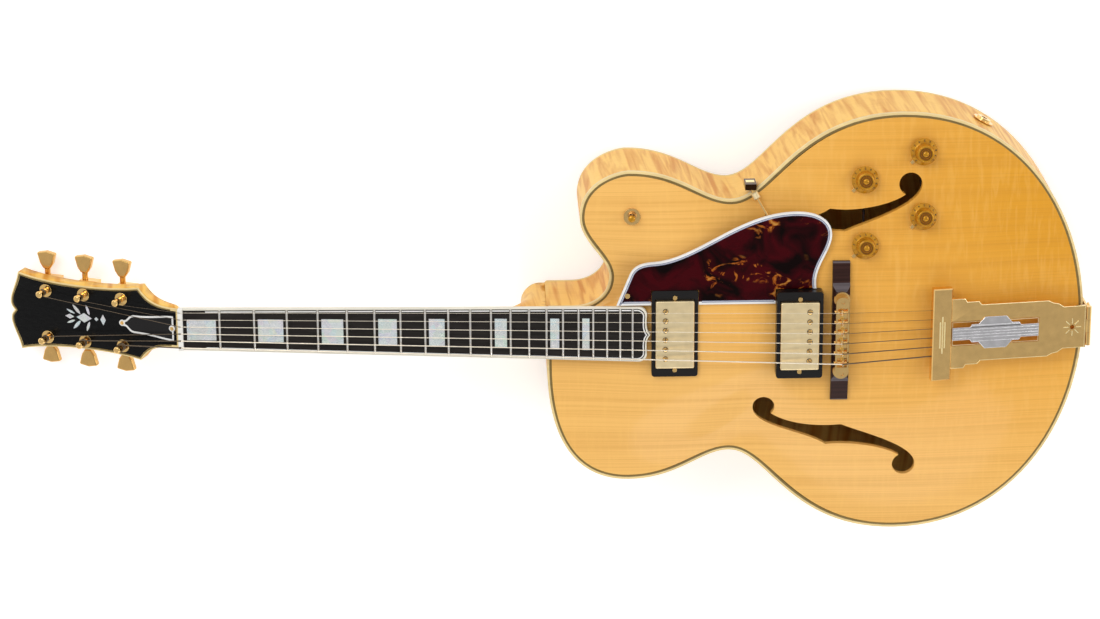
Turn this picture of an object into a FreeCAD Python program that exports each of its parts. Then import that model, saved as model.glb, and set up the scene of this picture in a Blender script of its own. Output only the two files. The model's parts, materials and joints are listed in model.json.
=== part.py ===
import FreeCAD, Part
import math
import os

V = FreeCAD.Vector
Placement = FreeCAD.Placement
Rotation = FreeCAD.Rotation

# Frame: the guitar lies on its back, x runs to the tail, y to the treble side, z out of the top.
# The origin is under the bridge, on the centre line, at the lowest plane of the arched back.

# Fits
GLUE = 0.05
RUN = 0.06
SLIP = 0.3

# Scale and strings
SCALE = 647.7
NECK_ANGLE = 4.4
FRETS = 20
STRINGS = 6
GAUGES = (0.30, 0.41, 0.61, 0.81, 1.07, 1.32)
NUT_SPREAD = 36.4
BRIDGE_SPREAD = 52.4
TAIL_SPREAD = 47.0
NUT_ACTION = 1.6
BEND_R = 6.0
TURNS = 3
WIND_GAP = 0.46
BALL_R = 1.9

# Body
RIM_DEPTH = 85.7
RIM_WALL = 3.2
EDGE_T = 5.0
BIND_W = 4.6
BACK_RISE = 17.0
TOP_RISE = 17.5
PLATE_UNDERCUT = 0.6
TAIL_X = 244.0
LOWER_X = 61.0
LOWER_HALF = 216.5
WAIST_X = -106.0
WAIST_HALF = 130.5
UPPER_X = -206.0
UPPER_HALF = 160.5
HORN_X = -254.2
HORN_Y = 114.0
CUT_X = -225.2
CUT_Y = 53.0
CUT_NECK_X = -262.0
JOINT_X = -287.0
SHOULDER_Y = 38.0
LINING_W = 6.0
LINING_H = 14.0
NECK_BLOCK_L = 46.0
TAIL_BLOCK_L = 34.0
TAIL_BLOCK_HALF = 30.0
BAR_Y = 46.0
BAR_W = 9.0
BAR_DEPTH = 12.0

# The arch: share of the way from the edge to the crown, share of the rise, share of the even outline
ARCH_STEPS = (
    (0.0, 0.0, 0.0), (0.09, 0.05, 0.03), (0.25, 0.2, 0.2), (0.45, 0.48, 0.5),
    (0.65, 0.76, 0.8), (0.84, 0.94, 1.0), (1.0, 1.0, 1.0),
)
ARCH_CENTRE_X = -20.0
ARCH_CROWN_X = 0.45
ARCH_CROWN_Y = 0.16

# Sound holes, in the half plane of positive y
F_EYE_A_X = -72.5
F_EYE_A_SHARE = 0.628
F_EYE_A_R = 10.8
F_EYE_B_X = 68.5
F_EYE_B_SHARE = 0.674
F_EYE_B_R = 11.3
F_NICK_IN = (6.6, -13.6)
F_NICK_OUT = (-8.3, 8.8)

# Neck and fingerboard
HEEL_HALF = 22.5
NUT_WIDTH = 42.9
BOARD_TAPER = 0.0147
BOARD_T = 6.0
BOARD_RADIUS = 305.0
BOARD_OVERHANG = 12.4
BOARD_POINT = 3.4
BOARD_CORNER = 8.0
BOARD_BIND = 1.6
BOARD_OVERSTAND = 15.7
FRET_W = 2.6
FRET_H = 1.1
INLAY_FRETS = (1, 3, 5, 7, 9, 12, 15, 17)
INLAY_MARGIN = 3.7
INLAY_SIDE = 11.0
INLAY_T = 1.3
NUT_T = 5.0
NUT_PROUD = 2.4
NECK_D_NUT = 14.5
NECK_D_HEEL = 17.0
HEEL_RUN = 58.0
HEEL_CAP_T = 2.0
HEEL_CAP_RUN = 24.0
HEEL_SHOULDER_RUN = 18.0
HEEL_MIDDLE_RUN = 5.0
HEEL_RISE = 2.0
HEEL_CAP_HALF = 20.0
RISER_HALF = 20.0
TRUSS_R = 2.4
TRUSS_DEPTH = 4.4
TRUSS_REACH = 7.0
TRUSS_NUT_R = 3.2
TRUSS_NUT_L = 8.0

# Headstock
HEAD_ANGLE = 17.0
HEAD_DROP = 3.4
HEAD_T = 14.0
OVERLAY_T = 1.6
HEAD_BIND = 2.6
HEAD_THROAT = 20.3
HEAD_LOW = (43.0, 37.8)
HEAD_TOP = (176.0, 40.5)
HEAD_BULGE = (185.5, 7.0)
HEAD_NOTCH = 181.5
HEAD_FLARE = 3.7
HEAD_SIDE_PULL = (32.0, 6.3)
HEAD_EAR_PULL = (36.0, 10.0)
HEAD_CROWN_PULL = (2.0, 12.5)
HEAD_BULGE_PULL = (1.5, 9.0)
HEAD_NOTCH_PULL = (0.5, 1.0)
COVER_T = 1.7
COVER_FROM = 4.5
COVER_LEN = 60.0
COVER_HALF = 13.3
COVER_WAIST = 9.6
COVER_LOBE_R = 3.4
COVER_SCREW_IN = 2.0

# Tuners
POST_FIRST = 61.6
POST_STEP = 41.8
POST_Y = 24.5
POST_R = 3.0
POST_WAIST_R = 2.6
POST_HEAD_R = 3.5
POST_TOP = 16.5
WAIST_FROM = 2.8
WAIST_TO = 10.8
BUSH_R = 5.0
BUSH_FLANGE_R = 6.6
BUSH_FLANGE_T = 1.6
GEAR_R = 5.2
GEAR_T = 3.2
WORM_R = 2.6
WORM_L = 11.0
KEY_SHAFT_R = 2.0
HOUSING_WALL = 1.2
HOUSING_W = 18.0
HOUSING_H = 10.0
BUTTON_IN = 40.5
BUTTON_OUT = 59.0
BUTTON_WIDE = 20.6
BUTTON_MID = 14.4
BUTTON_NARROW = 7.0
BUTTON_FLARE = 5.5
BUTTON_PEAK = 2.0
BUTTON_T = 6.5

# Bridge
BRIDGE_HEIGHT = 25.1
BASE_HALF = 72.0
BASE_STEP_IN = 43.0
BASE_STEP_OUT = 51.0
BASE_W = 17.0
BASE_TALL = 10.0
BASE_LOW = 5.0
BRIDGE_X = 1.0
POST_SPAN = 74.0
STUD_R = 2.0
STUD_SINK = 7.0
WHEEL_R = 8.0
WHEEL_T = 3.4
WHEEL_GAP = 2.4
BAR_HALF = 41.5
BAR_WIDE = 13.0
BAR_TALL = 7.0
BAR_WALL = 1.6
CHANNEL_HALF = 30.5
CHANNEL_FLOOR = 1.8
SADDLE_L = 3.4
SADDLE_W = 5.4
SADDLE_GAP = 0.3
SADDLE_SCREW_R = 0.8
SADDLE_SETS = (-0.9, 0.1, 0.9, -0.5, 0.4, 1.0)

# Tailpiece
TAIL_HINGE_UP = 13.0
TAIL_HINGE_OUT = 1.0
TAIL_SLOPE = 7.75
TAIL_T = 3.0
CROSS_FROM = 139.5
CROSS_W = 19.3
CROSS_HALF = 47.4
CROSS_T = 8.0
PLATE_HALF = 29.0
PLATE_END_HALF = 21.7
PLATE_END_L = 26.0
PLATE_STEP_L = 16.0
FIN_HALF = 36.0
FIN_MID_HALF = 32.5
FIN_L = 13.0
FIN_MID_L = 27.0
SLOT_FROM = 51.0
SLOT_HALF = 12.6
STAR_HOLE_AT = 17.0
STAR_HOLE_R = 2.2
INSERT_T = 1.6
INSERT_HALF = 16.4
INSERT_MID_HALF = 9.5
INSERT_BAR_HALF = 6.6
INSERT_WIDE = 26.0
INSERT_MID = 52.0
KNUCKLE_R = 2.6
HINGE_PIN_R = 1.2
BRACKET_T = 2.0
BRACKET_HALF = 20.0
BRACKET_DROP = 58.0
STRAP_DROP = 37.0
STRAP_R = 7.0
STRAP_NECK_R = 4.2
STRAP_L = 11.0
STRAP_SCREW_R = 2.4
STRAP_SCREW_L = 22.0

# Pickups
PICKUP_L = 69.8
PICKUP_W = 38.0
PICKUP_DEEP = 17.0
PICKUP_SKIN = 0.8
PICKUP_GAP = 4.2
NECK_PICKUP_X = -161.8
BRIDGE_PICKUP_X = -39.8
POLE_OFFSET = 9.4
POLE_SPREAD_NECK = 49.2
POLE_SPREAD_BRIDGE = 50.6
POLE_R = 2.4
LEG_L = 5.0
LEG_W = 12.0
LEG_T = 1.2
RING_L = 89.0
RING_W = 45.6
RING_FIT = 0.6
RING_REVEAL = 4.4
RING_CORNER = 3.0
HEIGHT_SCREW_R = 1.3
HEIGHT_HEAD_R = 2.2

# Knobs, pots and switch
KNOB_X = (80.4, 23.4, 80.6, 24.0)
KNOB_SHARES = (0.823, 0.699, 0.53, 0.402)
KNOB_SKIRT_R = 13.3
KNOB_BODY_R = 9.2
KNOB_TOP_R = 8.2
KNOB_LOW = 4.2
KNOB_SKIRT_H = 3.6
KNOB_H = 13.5
SHAFT_R = 3.0
SHAFT_DOWN = 14.0
POT_R = 12.0
POT_H = 9.0
POT_DROP = 9.0
POT_BUSH_R = 4.7
POT_NUT_R = 7.2
POT_NUT_T = 2.2
POINTER_T = 0.7
POINTER_REACH = 17.0
SWITCH_PLACE = (-203.2, 116.0)
SWITCH_L = 32.0
SWITCH_W = 15.0
SWITCH_H = 24.0
SWITCH_BUSH_R = 4.7
WIRE_R = 1.2
WIRE_INSET = 34.0
SWITCH_BORE_R = 3.3
SWITCH_RING_R = 8.3
SWITCH_RING_T = 1.8
SWITCH_BUSH_UP = 4.6
LEVER_R = 1.2
LEVER_BALL_R = 2.4
LEVER_PIN_R = 0.9
LEVER_PIVOT = 0.6
LEVER_TIP_R = 3.6
LEVER_H = 15.5

# Output jack in the treble rim, at a share of the way along the tail curve
JACK_AT = 0.73
JACK_DROP = 40.0
JACK_BORE_R = 3.25
JACK_SLEEVE_R = 4.7
JACK_PLATE_R = 10.5
JACK_PLATE_T = 2.0
JACK_NUT_T = 2.0
JACK_NUT_W = 2.4
JACK_L = 24.0

# Pickguard
GUARD_UP = 18.4
GUARD_T = 2.4
GUARD_BIND = 3.0
GUARD_LOW_Y = 30.0
GUARD_LEFT = -219.0
GUARD_RIGHT = -18.6
GUARD_TOP = (-44.0, 123.5)
GUARD_NOSE = (-9.0, 100.0)
GUARD_SHOULDER = (13.0, 32.0)
GUARD_BROW = (37.0, 44.0)
GUARD_DIP = (14.8, 48.0)
GUARD_SCREW = (-208.5, 40.0)
GUARD_SCREW_R = 1.5
GUARD_SPACER_W = 10.0
GUARD_SPACER_T = 5.0
BRACKET_AT = -87.5
BRACKET_BLOCK = 11.0
BRACKET_BLOCK_T = 6.0
BRACKET_BLOCK_H = 16.0
BRACKET_ROD_R = 1.4
GUARD_FOOT = (-66.0, 108.0)
GUARD_FOOT_R = 5.0

# Derived heights and frames
RIM_BOT = BACK_RISE
RIM_TOP = RIM_BOT + RIM_DEPTH
CROWN_Z = RIM_TOP + TOP_RISE
STRING_Z = CROWN_Z + BRIDGE_HEIGHT
STUD_YS = (POST_SPAN / 2.0, -POST_SPAN / 2.0)
NUT_HALF = NUT_WIDTH / 2.0
SLOPE = math.tan(math.radians(NECK_ANGLE))
NUT_X = -SCALE * math.cos(math.radians(NECK_ANGLE))
NUT_Z = RIM_TOP + BOARD_OVERSTAND - (JOINT_X - NUT_X) * SLOPE
NECK_PL = Placement(V(NUT_X, 0, NUT_Z), Rotation(V(0, 1, 0), -NECK_ANGLE))
HEAD_ORIGIN = NECK_PL.multVec(V(-NUT_T, 0, -HEAD_DROP))
HEAD_PL = Placement(HEAD_ORIGIN, Rotation(V(0, 1, 0), -NECK_ANGLE - HEAD_ANGLE))
HINGE = V(TAIL_X + TAIL_HINGE_OUT + BRACKET_T, 0, RIM_TOP + TAIL_HINGE_UP)
TAIL_PL = Placement(HINGE, Rotation(V(0, 1, 0), TAIL_SLOPE))
HEAD_BACK = -OVERLAY_T - HEAD_T
POSTS = [(POST_FIRST + POST_STEP * row, side * POST_Y) for side in (1, -1) for row in range(3)]
BOARD_L = SCALE * (1 - 2 ** (-FRETS / 12.0)) + BOARD_OVERHANG
REACH = 2000.0


# Small builders
def box(x0, x1, y0, y1, z0, z1):
    return Part.makeBox(x1 - x0, y1 - y0, z1 - z0, V(x0, y0, z0))


def rod(start, end, radius):
    run = end - start
    return Part.makeCylinder(radius, run.Length, start, run)


def peg(radius, z0, z1, x=0.0, y=0.0):
    return Part.makeCylinder(radius, z1 - z0, V(x, y, z0))


def turned(profile, place):
    points = [V(r, 0, z) for r, z in profile]
    face = Part.Face(Part.makePolygon(points + [points[0]]))
    solid = face.revolve(V(0, 0, 0), V(0, 0, 1), 360)
    solid.Placement = place
    return solid


def placed(shape, place):
    moved = shape.copy()
    moved.Placement = place.multiply(moved.Placement)
    return moved


def joined(shapes):
    whole = shapes[0].fuse(shapes[1:])
    return whole.removeSplitter()


def mirror(points):
    return [(x, -y) for x, y in reversed(points)]


# Outlines are closed chains of curves, each given by its poles
def run_of(start, axis_a, share_a, end, axis_b, share_b):
    dx = end[0] - start[0]
    dy = end[1] - start[1]
    out = (share_a * dx, 0) if axis_a == "x" else (0, share_a * dy)
    back = (share_b * dx, 0) if axis_b == "x" else (0, share_b * dy)
    return [start, (start[0] + out[0], start[1] + out[1]), (end[0] - back[0], end[1] - back[1]), end]


def inset(chain, depth):
    poles = [point for segment in chain for point in segment[:-1]]
    count = len(poles)
    area = sum(poles[i - 1][0] * poles[i][1] - poles[i][0] * poles[i - 1][1] for i in range(count))
    turn = math.copysign(depth, area)
    normals = []
    for i in range(count):
        dx = poles[(i + 1) % count][0] - poles[i][0]
        dy = poles[(i + 1) % count][1] - poles[i][1]
        length = math.hypot(dx, dy)
        normals.append((-dy / length, dx / length))
    moved = []
    for i in range(count):
        ax, ay = normals[i - 1]
        bx, by = normals[i]
        gain = turn / (1 + ax * bx + ay * by)
        moved.append((poles[i][0] + (ax + bx) * gain, poles[i][1] + (ay + by) * gain))
    result = []
    at = 0
    for segment in chain:
        size = len(segment)
        result.append([moved[(at + k) % count] for k in range(size)])
        at += size - 1
    return result


def wire_of(chain, z=0.0, scale_x=1.0, scale_y=1.0, centre_x=0.0):
    edges = []
    for segment in chain:
        curve = Part.BezierCurve()
        curve.setPoles([V(centre_x + (x - centre_x) * scale_x, y * scale_y, z) for x, y in segment])
        edges.append(curve.toShape())
    return Part.Wire(edges)


def slab(chain, z0, z1):
    return Part.Face(wire_of(chain, z0)).extrude(V(0, 0, z1 - z0))


def ring(chain, outer, inner, z0, z1):
    hole = slab(inset(chain, inner), z0 - 1, z1 + 1)
    blank = slab(inset(chain, outer), z0, z1) if outer else slab(chain, z0, z1)
    return blank.cut(hole)


def split(segment, cuts):
    pieces = []
    for start, end in zip((0.0,) + cuts, cuts + (1.0,)):
        curve = Part.BezierCurve()
        curve.setPoles([V(x, y, 0) for x, y in segment])
        curve.segment(start, end)
        pieces.append([(pole.x, pole.y) for pole in curve.getPoles()])
    return pieces


def line(start, end):
    dx = (end[0] - start[0]) / 3.0
    dy = (end[1] - start[1]) / 3.0
    return [start, (start[0] + dx, start[1] + dy), (end[0] - dx, end[1] - dy), end]


def body_chain(even):
    tail = (TAIL_X, 0)
    lower = (LOWER_X, LOWER_HALF)
    waist = (WAIST_X, WAIST_HALF)
    upper = (UPPER_X, UPPER_HALF)
    horn = (HORN_X, HORN_Y)
    cut = (CUT_X, CUT_Y)
    side = (CUT_NECK_X, HEEL_HALF)
    corner = (JOINT_X, HEEL_HALF)
    shoulder = (JOINT_X, SHOULDER_Y)
    bouts = [
        run_of(tail, "y", 0.526, lower, "x", 0.626),
        run_of(lower, "x", 0.636, waist, "x", 0.229),
        run_of(waist, "x", 0.274, upper, "x", 0.502),
    ]
    cutaway = [
        run_of(upper, "x", 0.19, horn, "y", 0.8),
        run_of(horn, "y", 0.413, cut, "y", 0.32),
        run_of(cut, "y", 0.54, side, "x", 0.647),
        line(side, corner),
    ]
    round_shoulder = run_of(upper, "x", 0.74, shoulder, "y", 0.55)
    bass = [mirror(segment) for segment in reversed(bouts + [round_shoulder])]
    if even:
        cutaway = split(round_shoulder, (0.3, 0.6, 0.85))
        corner = shoulder
    return bouts + cutaway + [line(corner, (JOINT_X, -SHOULDER_Y))] + bass


BODY = body_chain(False)
PLATE_CHAIN = inset(BODY, BIND_W + GLUE)
EVEN_CHAIN = inset(body_chain(True), BIND_W + GLUE)


def between(chain_a, chain_b, share):
    mixed = []
    for a, b in zip(chain_a, chain_b):
        mixed.append([(p[0] + (q[0] - p[0]) * share, p[1] + (q[1] - p[1]) * share) for p, q in zip(a, b)])
    return mixed


def arch(edge_z, rise, first=0):
    wires = []
    for way, height, evenness in ARCH_STEPS[first:]:
        sx = 1 - (1 - ARCH_CROWN_X) * way
        sy = 1 - (1 - ARCH_CROWN_Y) * way
        chain = between(PLATE_CHAIN, EVEN_CHAIN, evenness)
        wires.append(wire_of(chain, edge_z + height * rise, sx, sy, ARCH_CENTRE_X))
    return Part.makeLoft(wires, True, False)


TOP_DROP = EDGE_T + ARCH_STEPS[1][1] * TOP_RISE + PLATE_UNDERCUT
BACK_DROP = EDGE_T + ARCH_STEPS[1][1] * BACK_RISE + PLATE_UNDERCUT
TOP_ARCH = arch(RIM_TOP, TOP_RISE)
TOP_HOLLOW = arch(RIM_TOP - TOP_DROP, TOP_RISE, 1)
TOP_SEAT = TOP_ARCH.translated(V(0, 0, GLUE))


def top_z(x, y):
    probe = Part.makeLine(V(x, y, RIM_TOP - EDGE_T), V(x, y, CROWN_Z + EDGE_T))
    hit = TOP_ARCH.common(probe)
    return max([vertex.Z for vertex in hit.Vertexes] + [RIM_TOP])


def on_top(place):
    x, y = place
    step = 6.0
    dx = (top_z(x + step, y) - top_z(x - step, y)) / (2 * step)
    dy = (top_z(x, y + step) - top_z(x, y - step)) / (2 * step)
    normal = V(-dx, -dy, 1)
    return Placement(V(x, y, top_z(x, y)), Rotation(V(0, 0, 1), normal))


POT_PLACES = [on_top((x, share * LOWER_HALF)) for x, share in zip(KNOB_X, KNOB_SHARES)]
SWITCH_AT = on_top(SWITCH_PLACE)


# String lines
def lane(spread, index):
    return spread / 2.0 - spread * index / (STRINGS - 1)


def string_post(index):
    half = STRINGS // 2
    return POSTS[index] if index < half else POSTS[STRINGS + half - 1 - index]


def saddle_x(index):
    return BRIDGE_X + SADDLE_SETS[index]


def nut_point(index):
    return NECK_PL.multVec(V(-NUT_T / 2.0, lane(NUT_SPREAD, index), NUT_ACTION + GAUGES[index] / 2.0))


def string_z(x):
    start = nut_point(0)
    return start.z + (STRING_Z - start.z) * (x - start.x) / (BRIDGE_X - start.x)


# Body
def f_hole(side):
    eye_a = (F_EYE_A_X, F_EYE_A_SHARE * WAIST_HALF)
    eye_b = (F_EYE_B_X, F_EYE_B_SHARE * LOWER_HALF)
    ax, ay = eye_a
    bx, by = eye_b
    dx = (bx - ax) / 2.0
    dy = (by - ay) / 2.0
    nick_in = (ax + dx + F_NICK_IN[0], ay + dy + F_NICK_IN[1])
    nick_out = (ax + dx + F_NICK_OUT[0], ay + dy + F_NICK_OUT[1])
    tip_a = (ax + 0.51 * F_EYE_A_R, ay + 0.57 * F_EYE_A_R)
    tip_b = (bx - 0.41 * F_EYE_B_R, by - 0.87 * F_EYE_B_R)
    chain = [
        [tip_a, (ax + 0.28 * dx, ay + 0.53 * dy), (ax + 0.64 * dx, ay + 0.67 * dy), nick_in],
        [nick_in, (bx - 0.65 * dx, by - 1.16 * dy), (bx + F_EYE_B_R, by - 0.69 * dy), (bx + F_EYE_B_R, by)],
        [(bx + F_EYE_B_R, by), eye_b],
        [eye_b, tip_b],
        [tip_b, (bx - 0.24 * dx, by - 0.59 * dy), (bx - 0.71 * dx, by - 0.84 * dy), nick_out],
        [nick_out, (ax + 0.57 * dx, ay + 0.78 * dy), (ax - F_EYE_A_R, ay + 0.75 * dy), (ax - F_EYE_A_R, ay)],
        [(ax - F_EYE_A_R, ay), eye_a],
        [eye_a, tip_a],
    ]
    if side < 0:
        chain = [mirror(segment) for segment in reversed(chain)]
    stem = slab(chain, RIM_TOP - 2 * EDGE_T, CROWN_Z + EDGE_T)
    round_a = peg(F_EYE_A_R, RIM_TOP - 2 * EDGE_T, CROWN_Z + EDGE_T, ax, side * ay)
    round_b = peg(F_EYE_B_R, RIM_TOP - 2 * EDGE_T, CROWN_Z + EDGE_T, bx, side * by)
    return stem.fuse([round_a, round_b])


def pickup_well(x):
    half_w = PICKUP_W / 2.0 + RING_FIT + GLUE
    half_l = PICKUP_L / 2.0 + LEG_L + 2 * RING_FIT
    return box(x - half_w, x + half_w, -half_l, half_l, RIM_TOP - 2 * EDGE_T, CROWN_Z + EDGE_T)


def top_plate():
    blank = slab(PLATE_CHAIN, RIM_TOP - EDGE_T, RIM_TOP).fuse(TOP_ARCH)
    cuts = [TOP_HOLLOW, f_hole(1), f_hole(-1)]
    cuts += [pickup_well(NECK_PICKUP_X), pickup_well(BRIDGE_PICKUP_X)]
    for place in POT_PLACES + [SWITCH_AT]:
        cuts.append(placed(peg(POT_BUSH_R + GLUE, -3 * EDGE_T, EDGE_T), place))
    return blank.cut(cuts)


def back_plate():
    edge = slab(PLATE_CHAIN, RIM_BOT, RIM_BOT + EDGE_T)
    bowl = arch(RIM_BOT, -BACK_RISE)
    hollow = arch(RIM_BOT + BACK_DROP, -BACK_RISE, 1)
    return edge.fuse(bowl).cut(hollow)


def jack_place():
    segment = BODY[0]
    curve = Part.BezierCurve()
    curve.setPoles([V(x, y, 0) for x, y in segment])
    spot = curve.value(JACK_AT)
    along = curve.tangent(JACK_AT)[0]
    outward = V(along.y, -along.x, 0)
    return Placement(V(spot.x, spot.y, RIM_TOP - JACK_DROP), Rotation(V(0, 0, 1), outward))


def rims():
    wall = ring(BODY, 0, RIM_WALL, RIM_BOT + EDGE_T + GLUE, RIM_TOP - EDGE_T - GLUE)
    wall = wall.cut(placed(peg(JACK_SLEEVE_R + GLUE, -3 * RIM_WALL, RIM_WALL), jack_place()))
    strap_z = RIM_TOP - STRAP_DROP
    screw_in = V(TAIL_X - 3 * RIM_WALL, 0, strap_z)
    screw_out = V(TAIL_X + RIM_WALL, 0, strap_z)
    wall = wall.cut(rod(screw_in, screw_out, STRAP_SCREW_R + GLUE))
    seam = box(-REACH, REACH, -GLUE, GLUE, -REACH, REACH)
    return wall.cut(seam)


def inner_frame():
    low = RIM_BOT + EDGE_T + GLUE
    high = RIM_TOP - EDGE_T - GLUE
    room = slab(inset(BODY, RIM_WALL + GLUE), low, high)
    half = HEEL_HALF - RIM_WALL - GLUE
    block_a = box(JOINT_X, JOINT_X + RIM_WALL + NECK_BLOCK_L, -half, half, low, high).common(room)
    block_b = box(TAIL_X - RIM_WALL - TAIL_BLOCK_L, TAIL_X, -TAIL_BLOCK_HALF, TAIL_BLOCK_HALF, low, high)
    strap_z = RIM_TOP - STRAP_DROP
    screw = rod(V(TAIL_X - REACH, 0, strap_z), V(TAIL_X, 0, strap_z), STRAP_SCREW_R + GLUE)
    block_b = block_b.common(room).cut(screw)
    tail_half = TAIL_BLOCK_HALF + GLUE
    blocks = [
        box(JOINT_X, JOINT_X + RIM_WALL + NECK_BLOCK_L + GLUE, -half - GLUE, half + GLUE, 0, REACH),
        box(TAIL_X - RIM_WALL - TAIL_BLOCK_L - GLUE, TAIL_X, -tail_half, tail_half, 0, REACH),
    ]
    inner = RIM_WALL + GLUE
    linings = [
        ring(BODY, inner, inner + LINING_W, high - LINING_H, high).cut(blocks),
        ring(BODY, inner, inner + LINING_W, low, low + LINING_H).cut(blocks),
    ]
    under = TOP_HOLLOW.translated(V(0, 0, -GLUE))
    deep = TOP_HOLLOW.translated(V(0, 0, -BAR_DEPTH))
    bars = []
    for y in (BAR_Y, -BAR_Y - BAR_W):
        bar_end = TAIL_X - TAIL_BLOCK_L - 2 * BAR_W
        span = box(UPPER_X + LINING_W, bar_end, y, y + BAR_W, high - LINING_H, CROWN_Z)
        bars.append(span.common(under).cut(deep))
    return [block_a, block_b] + linings + bars


def body_bindings():
    top = ring(BODY, 0, BIND_W, RIM_TOP - EDGE_T, RIM_TOP)
    back = ring(BODY, 0, BIND_W, RIM_BOT, RIM_BOT + EDGE_T)
    return [top, back]


# Neck
def board_half(t):
    return NUT_HALF + BOARD_TAPER * t


def board_chain(grow):
    length = BOARD_L + grow
    start = board_half(0) - BOARD_BIND + grow
    end = board_half(BOARD_L) - BOARD_BIND + grow
    curve = 0.45 * BOARD_CORNER
    corner_end = (length, end - BOARD_CORNER)
    treble = [
        [(0, start), (length - BOARD_CORNER, end)],
        [(length - BOARD_CORNER, end), (length - curve, end), (length, end - curve), corner_end],
        [corner_end, (length - 1, BOARD_CORNER), (length, BOARD_POINT), (length + BOARD_POINT, 0)],
    ]
    return treble + [mirror(segment) for segment in reversed(treble)] + [[(0, -start), (0, start)]]


def crowned(chain, low):
    blank = slab(chain, low, BOARD_T)
    drum = Part.makeCylinder(BOARD_RADIUS, 2 * REACH, V(-REACH, 0, -BOARD_RADIUS), V(1, 0, 0))
    return blank.common(drum)


def fret_at(number):
    return SCALE * (1 - 2 ** (-number / 12.0))


def inlay_chain(number, grow):
    t0 = fret_at(number - 1) + INLAY_MARGIN - grow
    t1 = fret_at(number) - INLAY_MARGIN + grow
    half = board_half((t0 + t1) / 2.0) - INLAY_SIDE + grow
    corners = [(t0, -half), (t1, -half), (t1, half), (t0, half)]
    return [[corners[i], corners[(i + 1) % 4]] for i in range(4)]


def fingerboard():
    board = crowned(board_chain(0), -BOARD_T)
    pockets = [slab(inlay_chain(n, GLUE), -INLAY_T, BOARD_T) for n in INLAY_FRETS]
    return placed(board.cut(pockets), NECK_PL)


def pearl_inlays():
    blocks = [placed(crowned(inlay_chain(n, 0), -INLAY_T + GLUE), NECK_PL) for n in INLAY_FRETS]
    return blocks


def frets():
    wires = []
    for number in range(1, FRETS + 1):
        t = fret_at(number)
        half_angle = math.degrees(math.asin((board_half(t) - BOARD_BIND) / BOARD_RADIUS))
        foot_a = V(t - FRET_W / 2.0, 0, 0)
        foot_b = V(t + FRET_W / 2.0, 0, 0)
        crown = Part.Arc(foot_a, V(t, 0, FRET_H), foot_b).toShape()
        face = Part.Face(Part.Wire([crown, Part.makeLine(foot_b, foot_a)]))
        face.rotate(V(0, 0, -BOARD_RADIUS), V(1, 0, 0), -half_angle)
        wire = face.revolve(V(0, 0, -BOARD_RADIUS), V(1, 0, 0), 2 * half_angle)
        wires.append(placed(wire, NECK_PL))
    return wires


def head_chain():
    lx, ly = HEAD_LOW
    tx, ty = HEAD_TOP
    bx, by = HEAD_BULGE
    side_x, side_y = HEAD_SIDE_PULL
    ear_x, ear_y = HEAD_EAR_PULL
    crown_x, crown_y = HEAD_CROWN_PULL
    pull_x, pull_y = HEAD_BULGE_PULL
    in_x, out_x = HEAD_NOTCH_PULL
    treble = [
        [(0, HEAD_THROAT), (-0.56 * lx, HEAD_THROAT), (-0.77 * lx, HEAD_THROAT + HEAD_FLARE), (-lx, ly)],
        [(-lx, ly), (-lx - side_x, ly - side_y), (-tx + ear_x, ty - ear_y), (-tx, ty)],
        [(-tx, ty), (-tx - crown_x, ty - crown_y), (-bx - pull_x, by + pull_y), (-bx, by)],
        [(-bx, by), (-bx + in_x, by / 2.0), (-HEAD_NOTCH - out_x, by / 5.0), (-HEAD_NOTCH, 0)],
    ]
    bass = [mirror(segment) for segment in reversed(treble)]
    return treble + bass + [[(0, -HEAD_THROAT), (0, HEAD_THROAT)]]


HEAD = head_chain()


def d_section(t, half, top, depth):
    left = V(t, -half, top)
    right = V(t, half, top)
    bow = Part.Arc(left, V(t, 0, top - depth), right).toShape()
    return Part.Wire([bow, Part.makeLine(right, left)])


def heel_section(z, half, run):
    x1 = JOINT_X - GLUE
    x0 = x1 - run
    turn = min(half, 0.7 * run)
    a = V(x1, half, z)
    b = V(x0 + turn, half, z)
    c = V(x0 + turn, -half, z)
    d = V(x1, -half, z)
    bow = Part.Arc(b, V(x0, 0, z), c).toShape()
    return Part.Wire([Part.makeLine(a, b), bow, Part.makeLine(c, d), Part.makeLine(d, a)])


def head_blank():
    low = HEAD_BACK - 0.5
    half = HEAD_THROAT + 1.2
    sag = -low - 1
    radius = (half * half + sag * sag) / (2 * sag)
    spread = math.asin(half / radius)

    def on_arc(angle):
        return V(1, radius * math.sin(angle), low + radius * (1 - math.cos(angle)))

    marks = [-spread, -0.8 * spread, -0.6 * spread, 0, 0.6 * spread, 0.8 * spread, spread]
    points = [on_arc(angle) for angle in marks]
    arcs = [Part.Arc(points[i], points[i + 1], points[i + 2]).toShape() for i in (0, 2, 4)]
    round_end = Part.Wire(arcs + [Part.makeLine(points[6], points[0])])
    far = -HEAD_LOW[0]
    wide = 1.2 * HEAD_LOW[1]
    corners = [V(far, -wide, -1), V(far, -wide, low), V(far, wide, low), V(far, wide, -1)]
    square_end = Part.makePolygon(corners + [corners[0]])
    carve = Part.makeLoft([square_end, round_end], True, True)
    rest = box(-REACH, far, -REACH, REACH, 2 * HEAD_BACK, 0)
    blank = slab(HEAD, HEAD_BACK, -OVERLAY_T)
    return joined([blank.common(carve), blank.common(rest)])


def truss_line():
    return -BOARD_T - TRUSS_DEPTH


def head_pocket():
    low = truss_line() - TRUSS_NUT_R - SLIP
    half = TRUSS_NUT_R + SLIP
    return placed(box(-TRUSS_REACH - TRUSS_NUT_L - 2, -NUT_T - 1, -half, half, low, 0), NECK_PL)


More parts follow.
